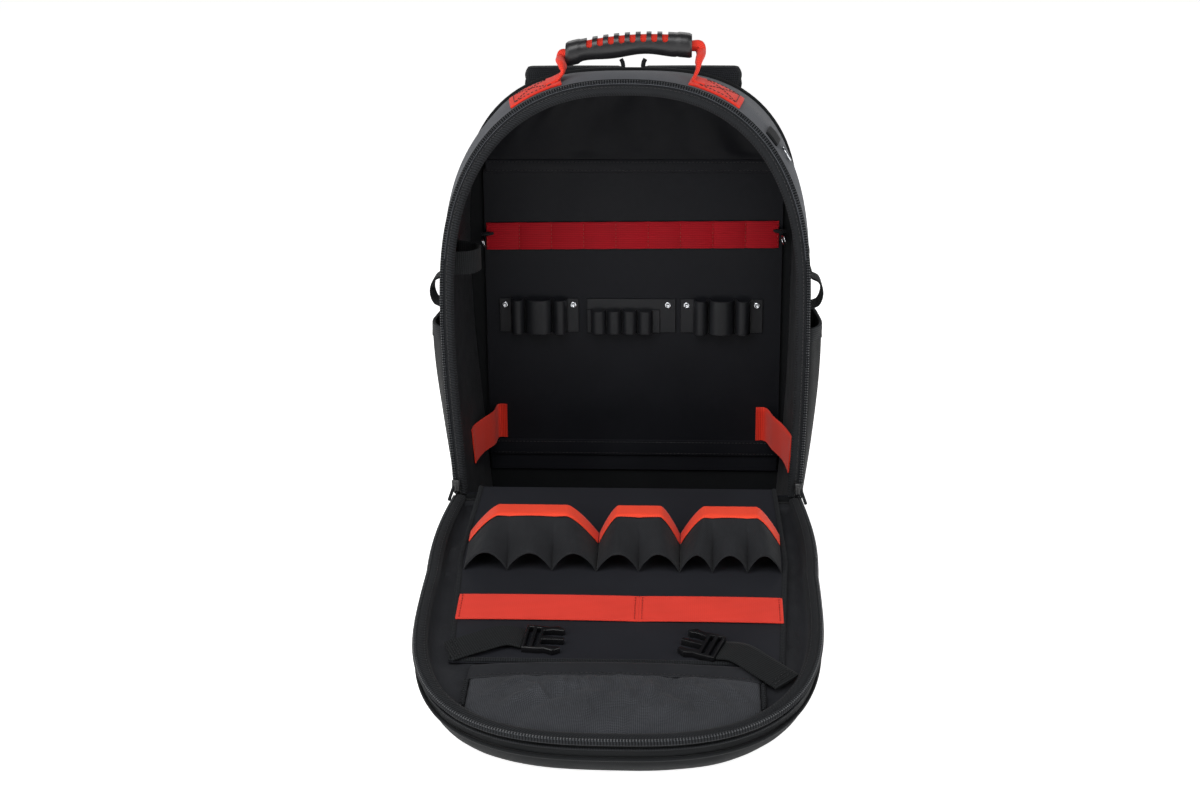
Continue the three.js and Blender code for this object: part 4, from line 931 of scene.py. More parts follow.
small_starts = [-46 + k * 17 for k in range(4)]
strips = [
    ("tool_loops_left", -146, -60, [(-134, -119), (-118.5, -88.5), (-88, -72)], 15, BOARD_FRONT, 221, 258),
    ("tool_loops_right", 52, 141, [(66, 82), (82.5, 111), (111.5, 128)], 15, BOARD_FRONT, 221, 258),
    ("tool_loops_middle_rear", -50, 46, [], 0, BOARD_FRONT, 221, 258),
    ("tool_loops_middle_front", -50, 29, [(s, s + 16.5) for s in small_starts], 11,
     BOARD_FRONT - LOOP_THICKNESS - GAP, 221, 246)]
for name, start, end, arches, depth, back, low, high in strips:
    carried(loop_strip(name + "_strip", start, end, arches, depth, back, low, high), "black_rubber", name)
for number, x in enumerate((-140.5, -65.5, 38, 58.5, 135)):
    carried(rivet(f"strip_rivet_{number + 1}", x, 251, BOARD_FRONT - LOOP_THICKNESS - 0.1), "steel")

# Side bands and inner loop
# Red elastic bands cross the two rear corners from wall to board, and a black elastic loop stands off the
# left wall.
def centripetal(knots):
    """The same smooth curve through knots as the solid's straps follow."""
    knots = np.asarray(knots, float)
    padded_knots = np.concatenate([[2 * knots[0] - knots[1]], knots, [2 * knots[-1] - knots[-2]]])

    def at(share):
        place = share * (len(knots) - 1)
        index = min(int(place), len(knots) - 2)
        weight = place - index
        p = padded_knots[index:index + 4]
        d = [max(np.linalg.norm(p[k + 1] - p[k]) ** 0.5, 1e-4) for k in range(3)]
        first = ((p[1] - p[0]) / d[0] - (p[2] - p[0]) / (d[0] + d[1]) + (p[2] - p[1]) / d[1]) * d[1]
        last = ((p[2] - p[1]) / d[1] - (p[3] - p[1]) / (d[1] + d[2]) + (p[3] - p[2]) / d[2]) * d[1]
        c2 = -3 * p[1] + 3 * p[2] - 2 * first - last
        c3 = 2 * p[1] - 2 * p[2] + first + last
        return p[1] + first * weight + c2 * weight ** 2 + c3 * weight ** 3
    return at


def strap(name, stations, steps, material, crown=0.0, rounding=0.0, crease=50):
    """Webbing through stations of (place, side direction, width, thickness), with rounded edges."""
    at = centripetal([s[0] for s in stations])
    last = len(stations) - 1
    loops = []
    for k in range(steps + 1):
        share = k / steps
        index = min(int(share * last), last - 1)
        weight = share * last - index
        a, b = stations[index], stations[index + 1]
        along = at(min(1, share + 1e-3)) - at(max(0, share - 1e-3))
        side = mix(np.asarray(a[1], float), np.asarray(b[1], float), weight)
        side = unit(side - along * np.dot(side, along) / np.dot(along, along))
        normal = unit(np.cross(side, along))
        half, thick = mix(a[2], b[2], weight) / 2, mix(a[3], b[3], weight) / 2
        half *= 1 - rounding * (1 - min(1, share / 0.05)) ** 2
        place = at(share)
        loop = []
        for s in (-1, 1):
            for x in np.linspace(1, -1, 9) * -s:
                bow = crown * thick * (1 - x * x)
                loop.append(place + side * x * (half - thick * 0.6) + normal * s * -(thick + bow))
            loop.append(place + side * s * half * 1.0)
        loops.append(loop)
    return loft(name, loops, material, crease=crease)


def wall_station(side, h, v, width, thickness, clear=0.0):
    inset = -BODY_WALL - GAP - thickness - clear
    low = body_point(side_t(side, h - width / 2), v, inset)
    high = body_point(side_t(side, h + width / 2), v, inset)
    return (low + high) / 2, unit(high - low), width, thickness


UPRIGHT = np.array([0, 0, 1.0])
SIDE_BAND = 39
for side, name, z, wall_share, bends, board_end in (
        (-1, "side_band_left", 117, 0.6, ((162, 50), (153, 76)), 150),
        (1, "side_band_right", 115.5, 0.52, ((163, 40), (154, 70)), 145)):
    h = (z - HINGE_HEIGHT) / math.cos(LEAN)
    stations = [wall_station(side, h, wall_share - 0.06, SIDE_BAND, ELASTIC),
                wall_station(side, h, wall_share, SIDE_BAND, ELASTIC)]
    ends = ((board_end, BOARD_FRONT - ELASTIC), (board_end - 9, BOARD_FRONT - ELASTIC))
    stations += [(np.array([side * x, y, z]), UPRIGHT, SIDE_BAND, ELASTIC) for x, y in bends + ends]
    carried(strap(name + "_elastic", stations, 60, red_webbing), "red_webbing", name)
loop_h = (330 - HINGE_HEIGHT) / math.cos(LEAN)
LOOP_WIDTH = 24
inner_stations = [wall_station(-1, loop_h, share, LOOP_WIDTH, ELASTIC, off)
                  for share, off in ((0.1, 0.1), (0.15, 1))]
inner_stations += [(np.array([x, y, 330.0]), UPRIGHT, LOOP_WIDTH, ELASTIC)
                   for x, y in ((-160, -30), (-153, -12), (-160, 8))]
inner_stations += [wall_station(-1, loop_h, share, LOOP_WIDTH, ELASTIC, off)
                   for share, off in ((0.45, 1), (0.5, 0.1))]
# Black polyester webbing, with ribs across its length and a matt face
black_webbing = woven("black_webbing", "#070808", "#1f2123", 2.2, "ribs", 0.25, 0.7, 0.06)
carried(strap("inner_loop_left_elastic", inner_stations, 60, black_webbing), "black_cloth", "inner_loop_left")


POCKET_THICKNESS, POCKET_RISE = 2, 12
POCKET_LOW, POCKET_HIGH = -28, 166
HEM = 13


def pocket_out(u, v):
    along = 1 - np.abs(2 * u - 1) ** 4
    upward = 1 - (1 - v) ** 2
    slack = 1.3 * np.sin(u * 31 + 3 * v) * smooth((v - 0.45) * 2.2) * along
    return GAP + POCKET_RISE * along * upward + slack * (1 - smooth((v - 0.93) * 20)) + 1.2 * along * upward


for side, name in ((-1, "left"), (1, "right")):
    wall_t = np.vectorize(side_t_of(side))

    def pocket_place(u, v, w, wall_t=wall_t):
        out = pocket_out(u, v) + POCKET_THICKNESS * w
        return body_point(wall_t(mix(POCKET_LOW, POCKET_HIGH, v)), mix(0.1, 0.85, u), out)

    pocket = sheet(f"side_pocket_{name}_cloth", pocket_place, 70, 40, black_polyester, lining_nylon,
                   crease=70)
    carried(pocket, "black_cloth", f"side_pocket_{name}")

    def hem_place(u, v, w, wall_t=wall_t):
        share = 1 - HEM / (POCKET_HIGH - POCKET_LOW) * (1 - v) + 0.004
        out = pocket_out(u, share) + mix(-0.4, POCKET_THICKNESS + 0.9, w) + 0.3 * np.sin(math.pi * v) * w
        return body_point(wall_t(mix(POCKET_LOW, POCKET_HIGH, share)), mix(0.1, 0.85, u), out)

    carried(sheet(f"side_pocket_{name}_hem", hem_place, 60, 5, zip_tape), "black_cloth")
    loop_stations = []
    for h, out in ((178, 1), (184, 1.5), (189, 10), (199, 13.5), (209, 10), (214, 1.5), (220, 1)):
        loop_stations.append((body_point(side_t(side, h), 0.28, GAP + out), np.array([0, 1.0, 0]), 30, 2))
    carried(strap(f"side_loop_{name}_webbing", loop_stations, 70, black_webbing, 0.15), "black_cloth",
            f"side_loop_{name}")

# Shoulder tab and ring
# A folded black tab is sewn to the right shoulder, and a small plain ring of plated steel lies beside it.
def tab_place(u, v, w):
    lift = GAP + w * 2.5 + 0.5 * np.sin(math.pi * u) * w
    return body_point(mix(0.648, 0.665, u), mix(0.06, 0.2, v), lift)


carried(sheet("shoulder_tab_fold", tab_place, 16, 14, zip_tape), "black_cloth", "shoulder_tab")
RING_RADIUS, RING_WIRE, RING_T, RING_V = 7, 1.1, 0.679, 0.13
ring_axis = body_point(RING_T, RING_V, 10) - body_point(RING_T, RING_V, 0)
ring_centre = body_point(RING_T, RING_V, RING_WIRE + 5 * GAP)
carried(ring("shoulder_ring_wire", ring_centre, ring_axis, RING_RADIUS, RING_WIRE, plated_steel),
        "steel", "shoulder_ring")

# Handle
# A moulded rubber grip with eight slots through which its red foam core shows. Folded red webbing runs
# through it and is box-stitched to the gusset at both ends.
GRIP_HALF, GRIP_DEPTH, GRIP_HEIGHT = 63, 27, 24
GRIP_X, GRIP_Y, GRIP_Z = -0.5, 10, HINGE_HEIGHT + FRONT_RISE + 28.5
CORE_HALF, CORE_DEPTH, CORE_HEIGHT = 47, 20, 18
SLOT_COUNT, SLOT_PITCH, SLOT_WIDTH = 8, 10.8, 6
CHANNEL_DEPTH, CHANNEL_HEIGHT = 15, 6
# Moulded grip rubber, smoother and shinier than the base
grip_rubber = plain_finish("black_grip_rubber", "#1a1a1c", 0.36, 1.4, 0.06, 0.5)
# Red foam core, dull and open-grained
core_foam = plain_finish("red_foam_core", "#c93022", 0.75, 1.0, 0.15, 0.15)


def grip_path(x):
    return GRIP_Z + 0.066 * x + 6 * (1 - (x / GRIP_HALF) ** 2) - 3


def grip_loop(x, depth, height, ripple=0.0, sides=36):
    angle = np.arange(sides) / sides * 2 * math.pi
    rounded = [np.sign(f(angle)) * np.abs(f(angle)) ** 0.8 for f in (np.cos, np.sin)]
    wave = np.where(np.sin(angle) < 0, ripple * math.sin((x + GRIP_HALF) / GRIP_HALF * 2 * math.pi), 0)
    return points(GRIP_X + x, GRIP_Y + depth / 2 * rounded[0], grip_path(x) + height / 2 * rounded[1] + wave)


def grip_loft(name, half, depth, height, ripple, steps, material):
    rows = []
    for x in np.linspace(-half, half, steps + 1):
        collar = 0.8 * smooth((abs(x) - 49) / 1.5) if ripple else 0
        end = 1.2 * max(0, abs(x) - half + 2.5) / 2.5 if ripple else 0
        inner_wave = ripple * (1 - smooth((abs(x) - 45) / 6))
        swell = 2 * collar - 2 * end - 1
        rows.append(grip_loop(x, depth + swell, height + swell, inner_wave))
    return loft(name, rows, material)


def carve(piece, cutters):
    """Take the cutters out of a piece and smooth what is left."""
    for cutter in cutters:
        step = piece.modifiers.new("cut", "BOOLEAN")
        step.operation, step.solver, step.object = "DIFFERENCE", "EXACT", cutter
    bpy.context.view_layer.update()
    carved = bpy.data.meshes.new_from_object(piece.evaluated_get(bpy.context.evaluated_depsgraph_get()))
    piece.modifiers.clear()
    piece.data = carved
    for cutter in cutters:
        bpy.data.objects.remove(cutter)
    carved.shade_smooth()
    carved.set_sharp_from_angle(angle=math.radians(35))
    return piece


grip = grip_loft("handle_grip_rubber", GRIP_HALF, GRIP_DEPTH, GRIP_HEIGHT, 1.2, 60, grip_rubber)
cutters = [grip_loft("core_room", CORE_HALF + 0.3, CORE_DEPTH + 1.6, CORE_HEIGHT + 1.6, 0, 16, grip_rubber),
           grip_loft("strap_room", GRIP_HALF + 5, CHANNEL_DEPTH + 6, CHANNEL_HEIGHT + 7, 0, 16, grip_rubber)]
for k in range(SLOT_COUNT):
    slot_x = (k - (SLOT_COUNT - 1) / 2) * SLOT_PITCH - 1.5

    def in_slot(a, b, c, slot_x=slot_x):
        return points(GRIP_X + slot_x + a, GRIP_Y + b, grip_path(slot_x) + 13 + c)

    slot_size = (SLOT_WIDTH, GRIP_DEPTH + 6, 21)
    cutters.append(rounded_block(f"slot_room_{k}", in_slot, slot_size, grip_rubber, 2.6))
carried(carve(grip, cutters), "black_rubber", "handle_grip")
core = grip_loft("handle_core_foam", CORE_HALF, CORE_DEPTH + 1, CORE_HEIGHT + 1, 0, 30, core_foam)
carried(core, "red_webbing", "handle_core")

PATCH_OUTER, PATCH_INNER, PATCH_FRONT, PATCH_REAR = 0.391, 0.448, 0.05, 0.32
ACROSS = np.array([0, 1.0, 0])
for side, name in ((-1, "left"), (1, "right")):
    def turned(t, side=side):
        return t if side < 0 else 1 - t

    def patch_place(u, v, w):
        lift = GAP + w * 2 + 0.25 * waves(u, v, (4, 3), 9.0 + side) * w
        return body_point(turned(mix(PATCH_OUTER, PATCH_INNER, u)), mix(PATCH_FRONT, PATCH_REAR, v), lift)

    def on_patch(t, out, width=30, thickness=1.8):
        near = body_point(turned(t), PATCH_FRONT + 0.04, GAP + out)
        far = body_point(turned(t), PATCH_REAR - 0.04, GAP + out)
        return (near + far) / 2, unit(far - near), width, thickness

    def free(x, y, z, width, thickness, side=side):
        return np.array([GRIP_X + side * x, y, z]), ACROSS, width, thickness

    patch = sheet("patch", patch_place, 24, 24, red_webbing)
    root = on_patch(PATCH_INNER - 0.002, 3.2)[0]
    grip_end = grip_path(side * GRIP_HALF)
    rise = grip_end - root[2]
    neck, bulge = (GRIP_HALF + 2, GRIP_HALF + 5) if side < 0 else (GRIP_HALF + 6, GRIP_HALF + 9)
    tail = strap("tail", [
        on_patch(PATCH_INNER - 0.014, 2.4, 28), on_patch(PATCH_INNER - 0.003, 3.2, 26, 2.4),
        free(neck, root[1] + 1, root[2] + 0.3 * rise, 20, 3.2),
        free(neck + 1, root[1] + 3, root[2] + 0.54 * rise, 15, 5),
        free(bulge, 9.5, root[2] + 0.8 * rise, 13, 7.5), free(bulge - 2, GRIP_Y, grip_end - 0.5, 12, 9),
        free(GRIP_HALF, GRIP_Y, grip_end, 13, 8), free(CORE_HALF + 1.5, GRIP_Y, grip_path(side * 48), 13, 7)],
        70, red_webbing, 0.35, crease=60)
    whole = join_pieces(f"handle_webbing_{name}_sewn", [patch, tail])
    whole.data.shade_smooth()
    whole.data.set_sharp_from_angle(angle=math.radians(60))
    carried(whole, "red_webbing", f"handle_webbing_{name}")
    low_t, high_t = turned(PATCH_OUTER + 0.006), turned(PATCH_INNER - 0.01)
    low_v, high_v = PATCH_FRONT + 0.025, PATCH_REAR - 0.025
    rows = [((low_t, low_v), (high_t, low_v)), ((low_t, high_v), (high_t, high_v)),
            ((low_t, low_v), (low_t, high_v)), ((high_t, low_v), (high_t, high_v)),
            ((low_t, low_v), (high_t, high_v)), ((low_t, high_v), (high_t, low_v))]
    s = np.linspace(0, 1, 14)
    paths = [body_point(mix(a[0], b[0], s), mix(a[1], b[1], s), GAP + 2.5) for a, b in rows]
    normal = unit(body_point(low_t, low_v, 10) - body_point(low_t, low_v, 0))
    carried(stitches(f"handle_box_stitch_{name}", paths, [normal] * 6, black_thread), "black_cloth")

# Back pads and shoulder straps
# Foam pads in spacer mesh with bound edges. The straps start at the top of the back, hang free of it and end
# in plain buckles, from which webbing runs to the lower corners.
# Knitted spacer mesh, black, with its small cells drawn coarse enough to show
spacer_mesh = woven("black_spacer_mesh", "#090a0b", "#25272b", 4.0, "diamond", 0.7, 0.8, 0.06)
BACK_FACE = BASE_DEPTH / 2 + GAP
PAD_INNER, PAD_WIDTH, PAD_BOTTOM, PAD_TOP = 18, 112, 96, 440
PAD_EDGE, PAD_THICKNESS = 2, 10
for side, name in ((-1, "left"), (1, "right")):
    def pad_place(u, v, w, side=side):
        round_x, round_v = 2 * u - 1, 2 * v - 1
        corner = 1 - 0.1 * np.abs(round_v) ** 9
        crown = np.sqrt(np.maximum(0, (1 - np.abs(round_x) ** 4) * (1 - round_v ** 8)))
        channels = 1 - 0.45 * np.exp(-((np.abs(round_v) - 0.34) / 0.02) ** 2)
        thickness = mix(PAD_EDGE, PAD_THICKNESS, crown * channels)
        x = PAD_INNER + PAD_WIDTH * (0.5 + round_x / 2 * corner)
        return points(side * x, BACK_FACE + w * thickness, mix(PAD_BOTTOM, PAD_TOP, v))

    pad = sheet(f"back_pad_{name}_foam", pad_place, 36, 110, spacer_mesh, crease=60)
    carried(pad, "black_cloth", f"back_pad_{name}")
    s = np.linspace(0, 1, 60)
    rim = [(s, 0 * s), (0 * s + 1, s), (1 - s, 0 * s + 1), (0 * s, 1 - s)]
    edge = np.concatenate([pad_place(a, b, 0.6) for a, b in rim])
    carried(tube(f"back_pad_{name}_binding", edge, 1.7, zip_tape, sides=8), "black_cloth")

    rows = [[62, 6.5, 508, 110, 12, 0.2], [62, 7, 480, 100, 12, 0.14], [65, 12, 455, 78, 12, 0.06],
            [72, 27, 410, 62, 12, 0], [82, 38, 350, 58, 12, 0], [90, 40, 290, 56, 12, 0],
            [94, 34, 235, 54, 12, 0], [96, 26, 196, 50, 10, 0]]
    stations = [(np.array([side * x, BACK_FACE + y, z]),
                 np.array([math.cos(tilt), 0, -side * math.sin(tilt)]),
                 width, thickness) for x, y, z, width, thickness, tilt in rows]
    foam = strap(f"shoulder_strap_{name}_foam", stations, 120, spacer_mesh, 0.25, 0.1, crease=60)
    carried(foam, "black_cloth", f"shoulder_strap_{name}")
    at = centripetal([station[0] for station in stations])
    for edge_side in (-1, 1):
        path = []
        for share in np.linspace(0.01, 0.99, 60):
            index = min(int(share * 7), 6)
            weight = share * 7 - index
            width = mix(stations[index][2], stations[index + 1][2], weight)
            direction = unit(mix(stations[index][1], stations[index + 1][1], weight))
            half = (width / 2 - 1.2) * (1 - 0.1 * (1 - min(1, share / 0.05)) ** 2)
            path.append(at(share) + edge_side * direction * half)
        edge_name = "outer" if edge_side == side else "inner"
        binding = tube(f"shoulder_strap_{name}_{edge_name}_binding", path, 2.4, zip_tape, sides=8)
        carried(binding, "black_cloth")
    webbing_rows = [[97, 24, 153], [102, 20, 130], [116, 10, 92], [130, 1.4, 60], [134, 1.4, 46]]
    webbing_stations = [(np.array([side * x, BACK_FACE + y, z]), np.array([1.0, 0, 0]), 25, 2)
                        for x, y, z in webbing_rows]
    carried(strap(f"strap_webbing_{name}_tape", webbing_stations, 50, black_webbing, 0.1), "black_cloth",
            f"strap_webbing_{name}")

# Buckles
# Moulded acetal: smooth, slightly glossy, with small rounded edges.
moulded_acetal = plain_finish("black_moulded_acetal", "#121214", 0.3, 1.4, 0.03, 0.4)


def rounded_copy(node, name, bevel, material):
    """The solid of a node with its edges rounded."""
    piece = bpy.data.objects.new(name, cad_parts[node].data.copy())
    bpy.context.scene.collection.objects.link(piece)
    piece.data.materials.clear()
    piece.data.materials.append(material)
    shape = bmesh.new()
    shape.from_mesh(piece.data)
    bmesh.ops.remove_doubles(shape, verts=shape.verts, dist=1e-5)
    bmesh.ops.dissolve_limit(shape, angle_limit=math.radians(3), verts=shape.verts, edges=shape.edges)
    sharp = [edge for edge in shape.edges if len(edge.link_faces) == 2 and edge.calc_face_angle() > 0.5]
    bmesh.ops.bevel(shape, geom=sharp, offset=bevel * MM, segments=2, affect="EDGES", profile=0.5,
                    clamp_overlap=True)
    bmesh.ops.triangulate(shape, faces=[face for face in shape.faces if len(face.verts) > 4])
    shape.to_mesh(piece.data)
    shape.free()
    piece.data.shade_smooth()
    piece.data.set_sharp_from_angle(angle=math.radians(50))
    return piece


for node in ("lid_buckle_left", "lid_buckle_right", "strap_buckle_left", "strap_buckle_right"):
    carried(rounded_copy(node, node + "_moulding", 0.7, moulded_acetal), "black_plastic", node)

# Lid shell
# The lid is a shallow tray of foam-backed black cloth. A corded seam runs round the middle of its wall.
LID_SLOPE = math.radians(9.5)
LID_WALL, LID_RECESS, LINING_THICKNESS = 3.5, 10, 2.5
RIM_WIDTH, RIM_RISE, RIM_DROP, LID_CORNER = 12, 2, 4, 28
LID_TURN = math.tan(LEAN + LID_SLOPE)
LID_SQUARENESS, LID_SHORTENING = 2.8, 0.973
NEAR_SPREAD, NEAR_REACH, FAR_SPREAD = 0.022, 150, 0.004
LID_LENGTH = OPENING_HEIGHT * LID_SHORTENING
LID_DEPTH = (HINGE_HEIGHT - (LID_LENGTH - 13) * math.sin(LID_SLOPE)) / math.cos(LID_SLOPE) + 1.5


def lid_spread(h):
    near = np.clip(h / NEAR_REACH, 0, 1)
    return 1 + NEAR_SPREAD * np.sin(math.pi * near) + FAR_SPREAD * near


def lid_arch(t, grow):
    """The lid's edge: squarer than the opening's, spread near the hinge and a little shorter."""
    x, h = arch_point(t, grow, LID_SQUARENESS)
    return x * lid_spread(h), h * LID_SHORTENING


def lid_half(reach, grow):
    return half_width_at(reach / LID_SHORTENING, grow, LID_SQUARENESS) * lid_spread(reach / LID_SHORTENING)


def lid_point(x, reach, above=0):
    """A point of the lid: across, out from the hinge, and above the plane of its rim."""
    return points(
        x,
        HINGE_Y - reach * math.cos(LID_SLOPE) - above * math.sin(LID_SLOPE),
        HINGE_HEIGHT - reach * math.sin(LID_SLOPE) + above * math.cos(LID_SLOPE))


def lid_loop(grow, above, hinge_side=0, steps=160, dents=0.0):
    first = abs(above) * LID_TURN + 0.6 + hinge_side
    t = np.linspace(share_at(first) / 2, 1 - share_at(first) / 2, steps + 1)
    away_from_ends = np.clip(np.minimum(t, 1 - t) * 12, 0, 1)
    uneven = dents * waves(t * 9, np.full(steps + 1, above / 30), (1, 1), 4.0) * away_from_ends
    x, h = lid_arch(t, grow + uneven)
    return lid_point(x, np.maximum(first, h), above)


def rounded_profile(knots, steps):
    at = centripetal(knots)
    return [at(share) for share in np.linspace(0, 1, steps + 1)]


shell_rows = [lid_loop(grow, above, hinge, dents=1.2) for grow, above, hinge in rounded_profile(
    [(-LID_CORNER, -LID_DEPTH, 10), (-13, -LID_DEPTH + 1.5, 4), (-5, -LID_DEPTH + 9, 1),
     (-1, -LID_DEPTH / 2, 0), (-1, -RIM_DROP - GAP, 0)], 24)]
shell_rows += [lid_loop(grow, above, hinge) for grow, above, hinge in (
    (-4.5, -RIM_DROP - GAP, LID_WALL), (-4.5, -LID_DEPTH / 2, LID_WALL), (-9, -LID_DEPTH + 11, LID_WALL + 1),
    (-LID_CORNER, -LID_DEPTH + LID_WALL, LID_WALL + 9))]
carried(loft("lid_shell_cloth", shell_rows, black_polyester), "black_cloth", "lid_shell")
lower_seam = lid_loop(0.6, -LID_DEPTH * 0.46)[2:-2]
upper_seam = lid_loop(0.4, -RIM_DROP - 5)[2:-2]
carried(tube("lid_seam_cord", lower_seam, 1.9, black_polyester, sides=8), "black_cloth")
carried(tube("lid_upper_seam_cord", upper_seam, 1.2, zip_tape, sides=8), "black_cloth")

# Lid lining
# Dark nylon over thin foam, sewn in under the rim. It lies loose, with shallow folds.
# Charcoal nylon lining, thin and smooth with a faint shine
lid_nylon = woven("charcoal_nylon_lining", "#17181a", "#2b2c30", 1.8, "plain", 0.1, 0.6, 0.05)
lining_rows = [lid_loop(-5.5, -LID_RECESS - LINING_THICKNESS, LID_WALL + 1),
               lid_loop(-5.5, -RIM_DROP - GAP, LID_WALL + 1),
               lid_loop(-RIM_WIDTH + 2, -RIM_DROP - GAP, LID_WALL + 5),
               lid_loop(-RIM_WIDTH + 0.4, -LID_RECESS + 2.4, LID_WALL + 6),
               lid_loop(-RIM_WIDTH - 1.5, -LID_RECESS, LID_WALL + 7)]
edge_row = lining_rows[-1]
middle = lid_point(0, 190, -LID_RECESS)
outwards = unit(lid_point(0, 0, 1) - lid_point(0, 0, 0))
for share in (0.96, 0.92, 0.87, 0.82, 0.76, 0.7, 0.6, 0.45, 0.3, 0.15):
    row = middle + (edge_row - middle) * share
    turn = np.linspace(0, 1, len(row))
    reach = (HINGE_Y - row[:, 1]) / math.cos(LID_SLOPE)
    covered = np.where(reach < 290, 158, 136)
    room = 0.4 + 4 * np.clip((np.abs(row[:, 0]) - covered) / 8, 0, 1)
    loose = 4 * waves(turn * 16, np.full(len(row), share * 12), (1, 1), 6.0) * min(1, (1 - share) * 25)
    lining_rows.append(row + outwards * np.minimum(loose, room)[:, None])
carried(loft("lid_lining_cloth", lining_rows, lid_nylon, crease=60), "black_cloth", "lid_lining")

# Lid rim
# The edge of the lid is bound with twill tape, crowned over a cord, and carries the other half of the zip's
# coil.
RIM_OUTSIDE = 2.6
RIM_START = share_at(4.6) / 2


def rim_place(u, v, w):
    x, h = lid_arch(mix(RIM_START, 1 - RIM_START, u), mix(RIM_OUTSIDE - RIM_WIDTH, RIM_OUTSIDE, v))
    crown = RIM_RISE * np.sin(math.pi * v) ** 0.7
    groove = 0.9 * np.exp(-((v - 0.7) / 0.05) ** 2)
    return lid_point(x, np.maximum(4.6, h), mix(-RIM_DROP, 0, w) + (crown - groove) * w)


carried(sheet("lid_rim_binding", rim_place, 240, 16, black_twill), "black_cloth", "lid_rim")
rim_t = np.linspace(RIM_START, 1 - RIM_START, 260)


def round_rim(grow, above):
    x, h = lid_arch(rim_t, grow)
    return lid_point(x, np.maximum(4.6, h), above)


lid_coil = coil("lid_zip_coil", round_rim(RIM_OUTSIDE - 1.2, 0), outwards, 0.4, 2.6, 1.1, painted_highlight_coil)
carried(lid_coil, "black_plastic")
carried(stitches("lid_rim_stitches", [round_rim(RIM_OUTSIDE - RIM_WIDTH + 2, 1.2)], [outwards], black_thread),
        "black_cloth")

# Organiser board
# A stiff sheet covered in the same laminate as the tool board, bound all round with ribbed tape.
ORGANISER_START, ORGANISER_END, ORGANISER_RISE = -8, 283, 3.9
ORGANISER_FOOT = BOARD_THICKNESS + GAP - LID_RECESS
# The tool board's laminate, flat and even, drawn a lighter charcoal here as painted light, as the lid lies
# open to the lamps while the tool board stands in the bag's shade
painted_light_laminate = woven("organiser_laminate_painted_light", "#1b1c20", "#222328", 2.4, "plain", 0.05, 0.5, 0.03, 0.08, 70)


def organiser_top(reach):
    return mix(ORGANISER_RISE, ORGANISER_FOOT, (reach - ORGANISER_START) / (ORGANISER_END - ORGANISER_START))


def organiser_half(reach):
    near = mix(151, 157, np.clip(reach / 120, 0, 1))
    return np.where(reach < 120, near, mix(157, 148, (reach - 120) / (ORGANISER_END - 120)))


def organiser_place(u, v, w):
    reach = mix(ORGANISER_START, ORGANISER_END, v)
    above = organiser_top(reach) + (w - 1) * BOARD_THICKNESS
    return lid_point((2 * u - 1) * organiser_half(reach), reach, above)


organiser = sheet("organiser_board_laminate", organiser_place, 50, 50, painted_light_laminate)
carried(organiser, "board_cloth", "organiser_board")
BINDING = 4.5


def binding_place(across_edge):
    def place(u, v, w):
        if across_edge:
            reach = mix(ORGANISER_START, ORGANISER_END, v)
            x = across_edge * (organiser_half(reach) - BINDING * (1 - u) + 0.5)
        else:
            reach = mix(ORGANISER_END - BINDING, ORGANISER_END + 0.6, u)
            x = (2 * v - 1) * organiser_half(reach)
        return lid_point(x, reach, organiser_top(reach) + 0.1 + w * (0.5 + 0.7 * np.sin(math.pi * u) ** 0.6))
    return place


for edge_name, across_edge in (("left", -1), ("right", 1), ("far", 0)):
    binding = sheet(f"organiser_binding_{edge_name}", binding_place(across_edge), 5, 80, zip_tape)
    carried(binding, "black_cloth")

# Tool sleeves
# Three sheets of black cloth arch over the organiser. Their upper edges are bound in red and rise in one wide
# arch each; their lower edges are sewn down between the tools.
SLEEVE_UPPER, SLEEVE_LOWER, SLEEVE_RISE, SLEEVE_LOW_RISE, SLEEVE_THICKNESS = 84, 142, 31, 19, 2
TRIM_WIDTH, SLEEVE_SHOULDER = 13, 0.24
# Plain black polyester cloth of the sleeves, matt
sleeve_cloth = woven("black_sleeve_cloth", "#131416", "#28292c", 1.6, "plain", 0.12, 0.7, 0.06)
# Folded red binding tape, bright and plain-woven
red_binding = woven("red_edge_binding", "#d0361f", "#ee4c33", 1.6, "plain", 0.1, 0.6, 0.1, 0.05)


def sleeve_surface(feet, reach_of, raise_of, loose=0.0):
    feet = np.asarray(feet, float)

    def place(u, v, w):
        x = np.interp(u * (len(feet) - 1), np.arange(len(feet)), feet)
        reach = reach_of(v)
        whole = (x - feet[0]) / (feet[-1] - feet[0])
        wide = 1 - (1 - np.clip(np.minimum(whole, 1 - whole) / SLEEVE_SHOULDER, 0, 1)) ** 1.4
        part = u * (len(feet) - 1) % 1
        part = np.where(np.isclose(u * (len(feet) - 1), np.round(u * (len(feet) - 1))), 0, part)
        small = np.sin(math.pi * part) ** 0.85
        below_trim = SLEEVE_UPPER + TRIM_WIDTH
        blend = np.clip((reach - below_trim) / (SLEEVE_LOWER - SLEEVE_UPPER - TRIM_WIDTH), 0, 1)
        height = mix(SLEEVE_RISE * wide, SLEEVE_LOW_RISE * small, blend)
        folds = loose * waves(u * 3, v, (2, 2), feet[0]) * np.minimum(1, height / 8)
        return lid_point(x, reach, organiser_top(reach) + GAP + height + raise_of(w) + folds)
    return place


def sleeve_reach(v):
    return mix(SLEEVE_UPPER, SLEEVE_LOWER, v)


def trim_reach(v):
    return mix(SLEEVE_UPPER - 2, SLEEVE_UPPER + TRIM_WIDTH + 2, v)


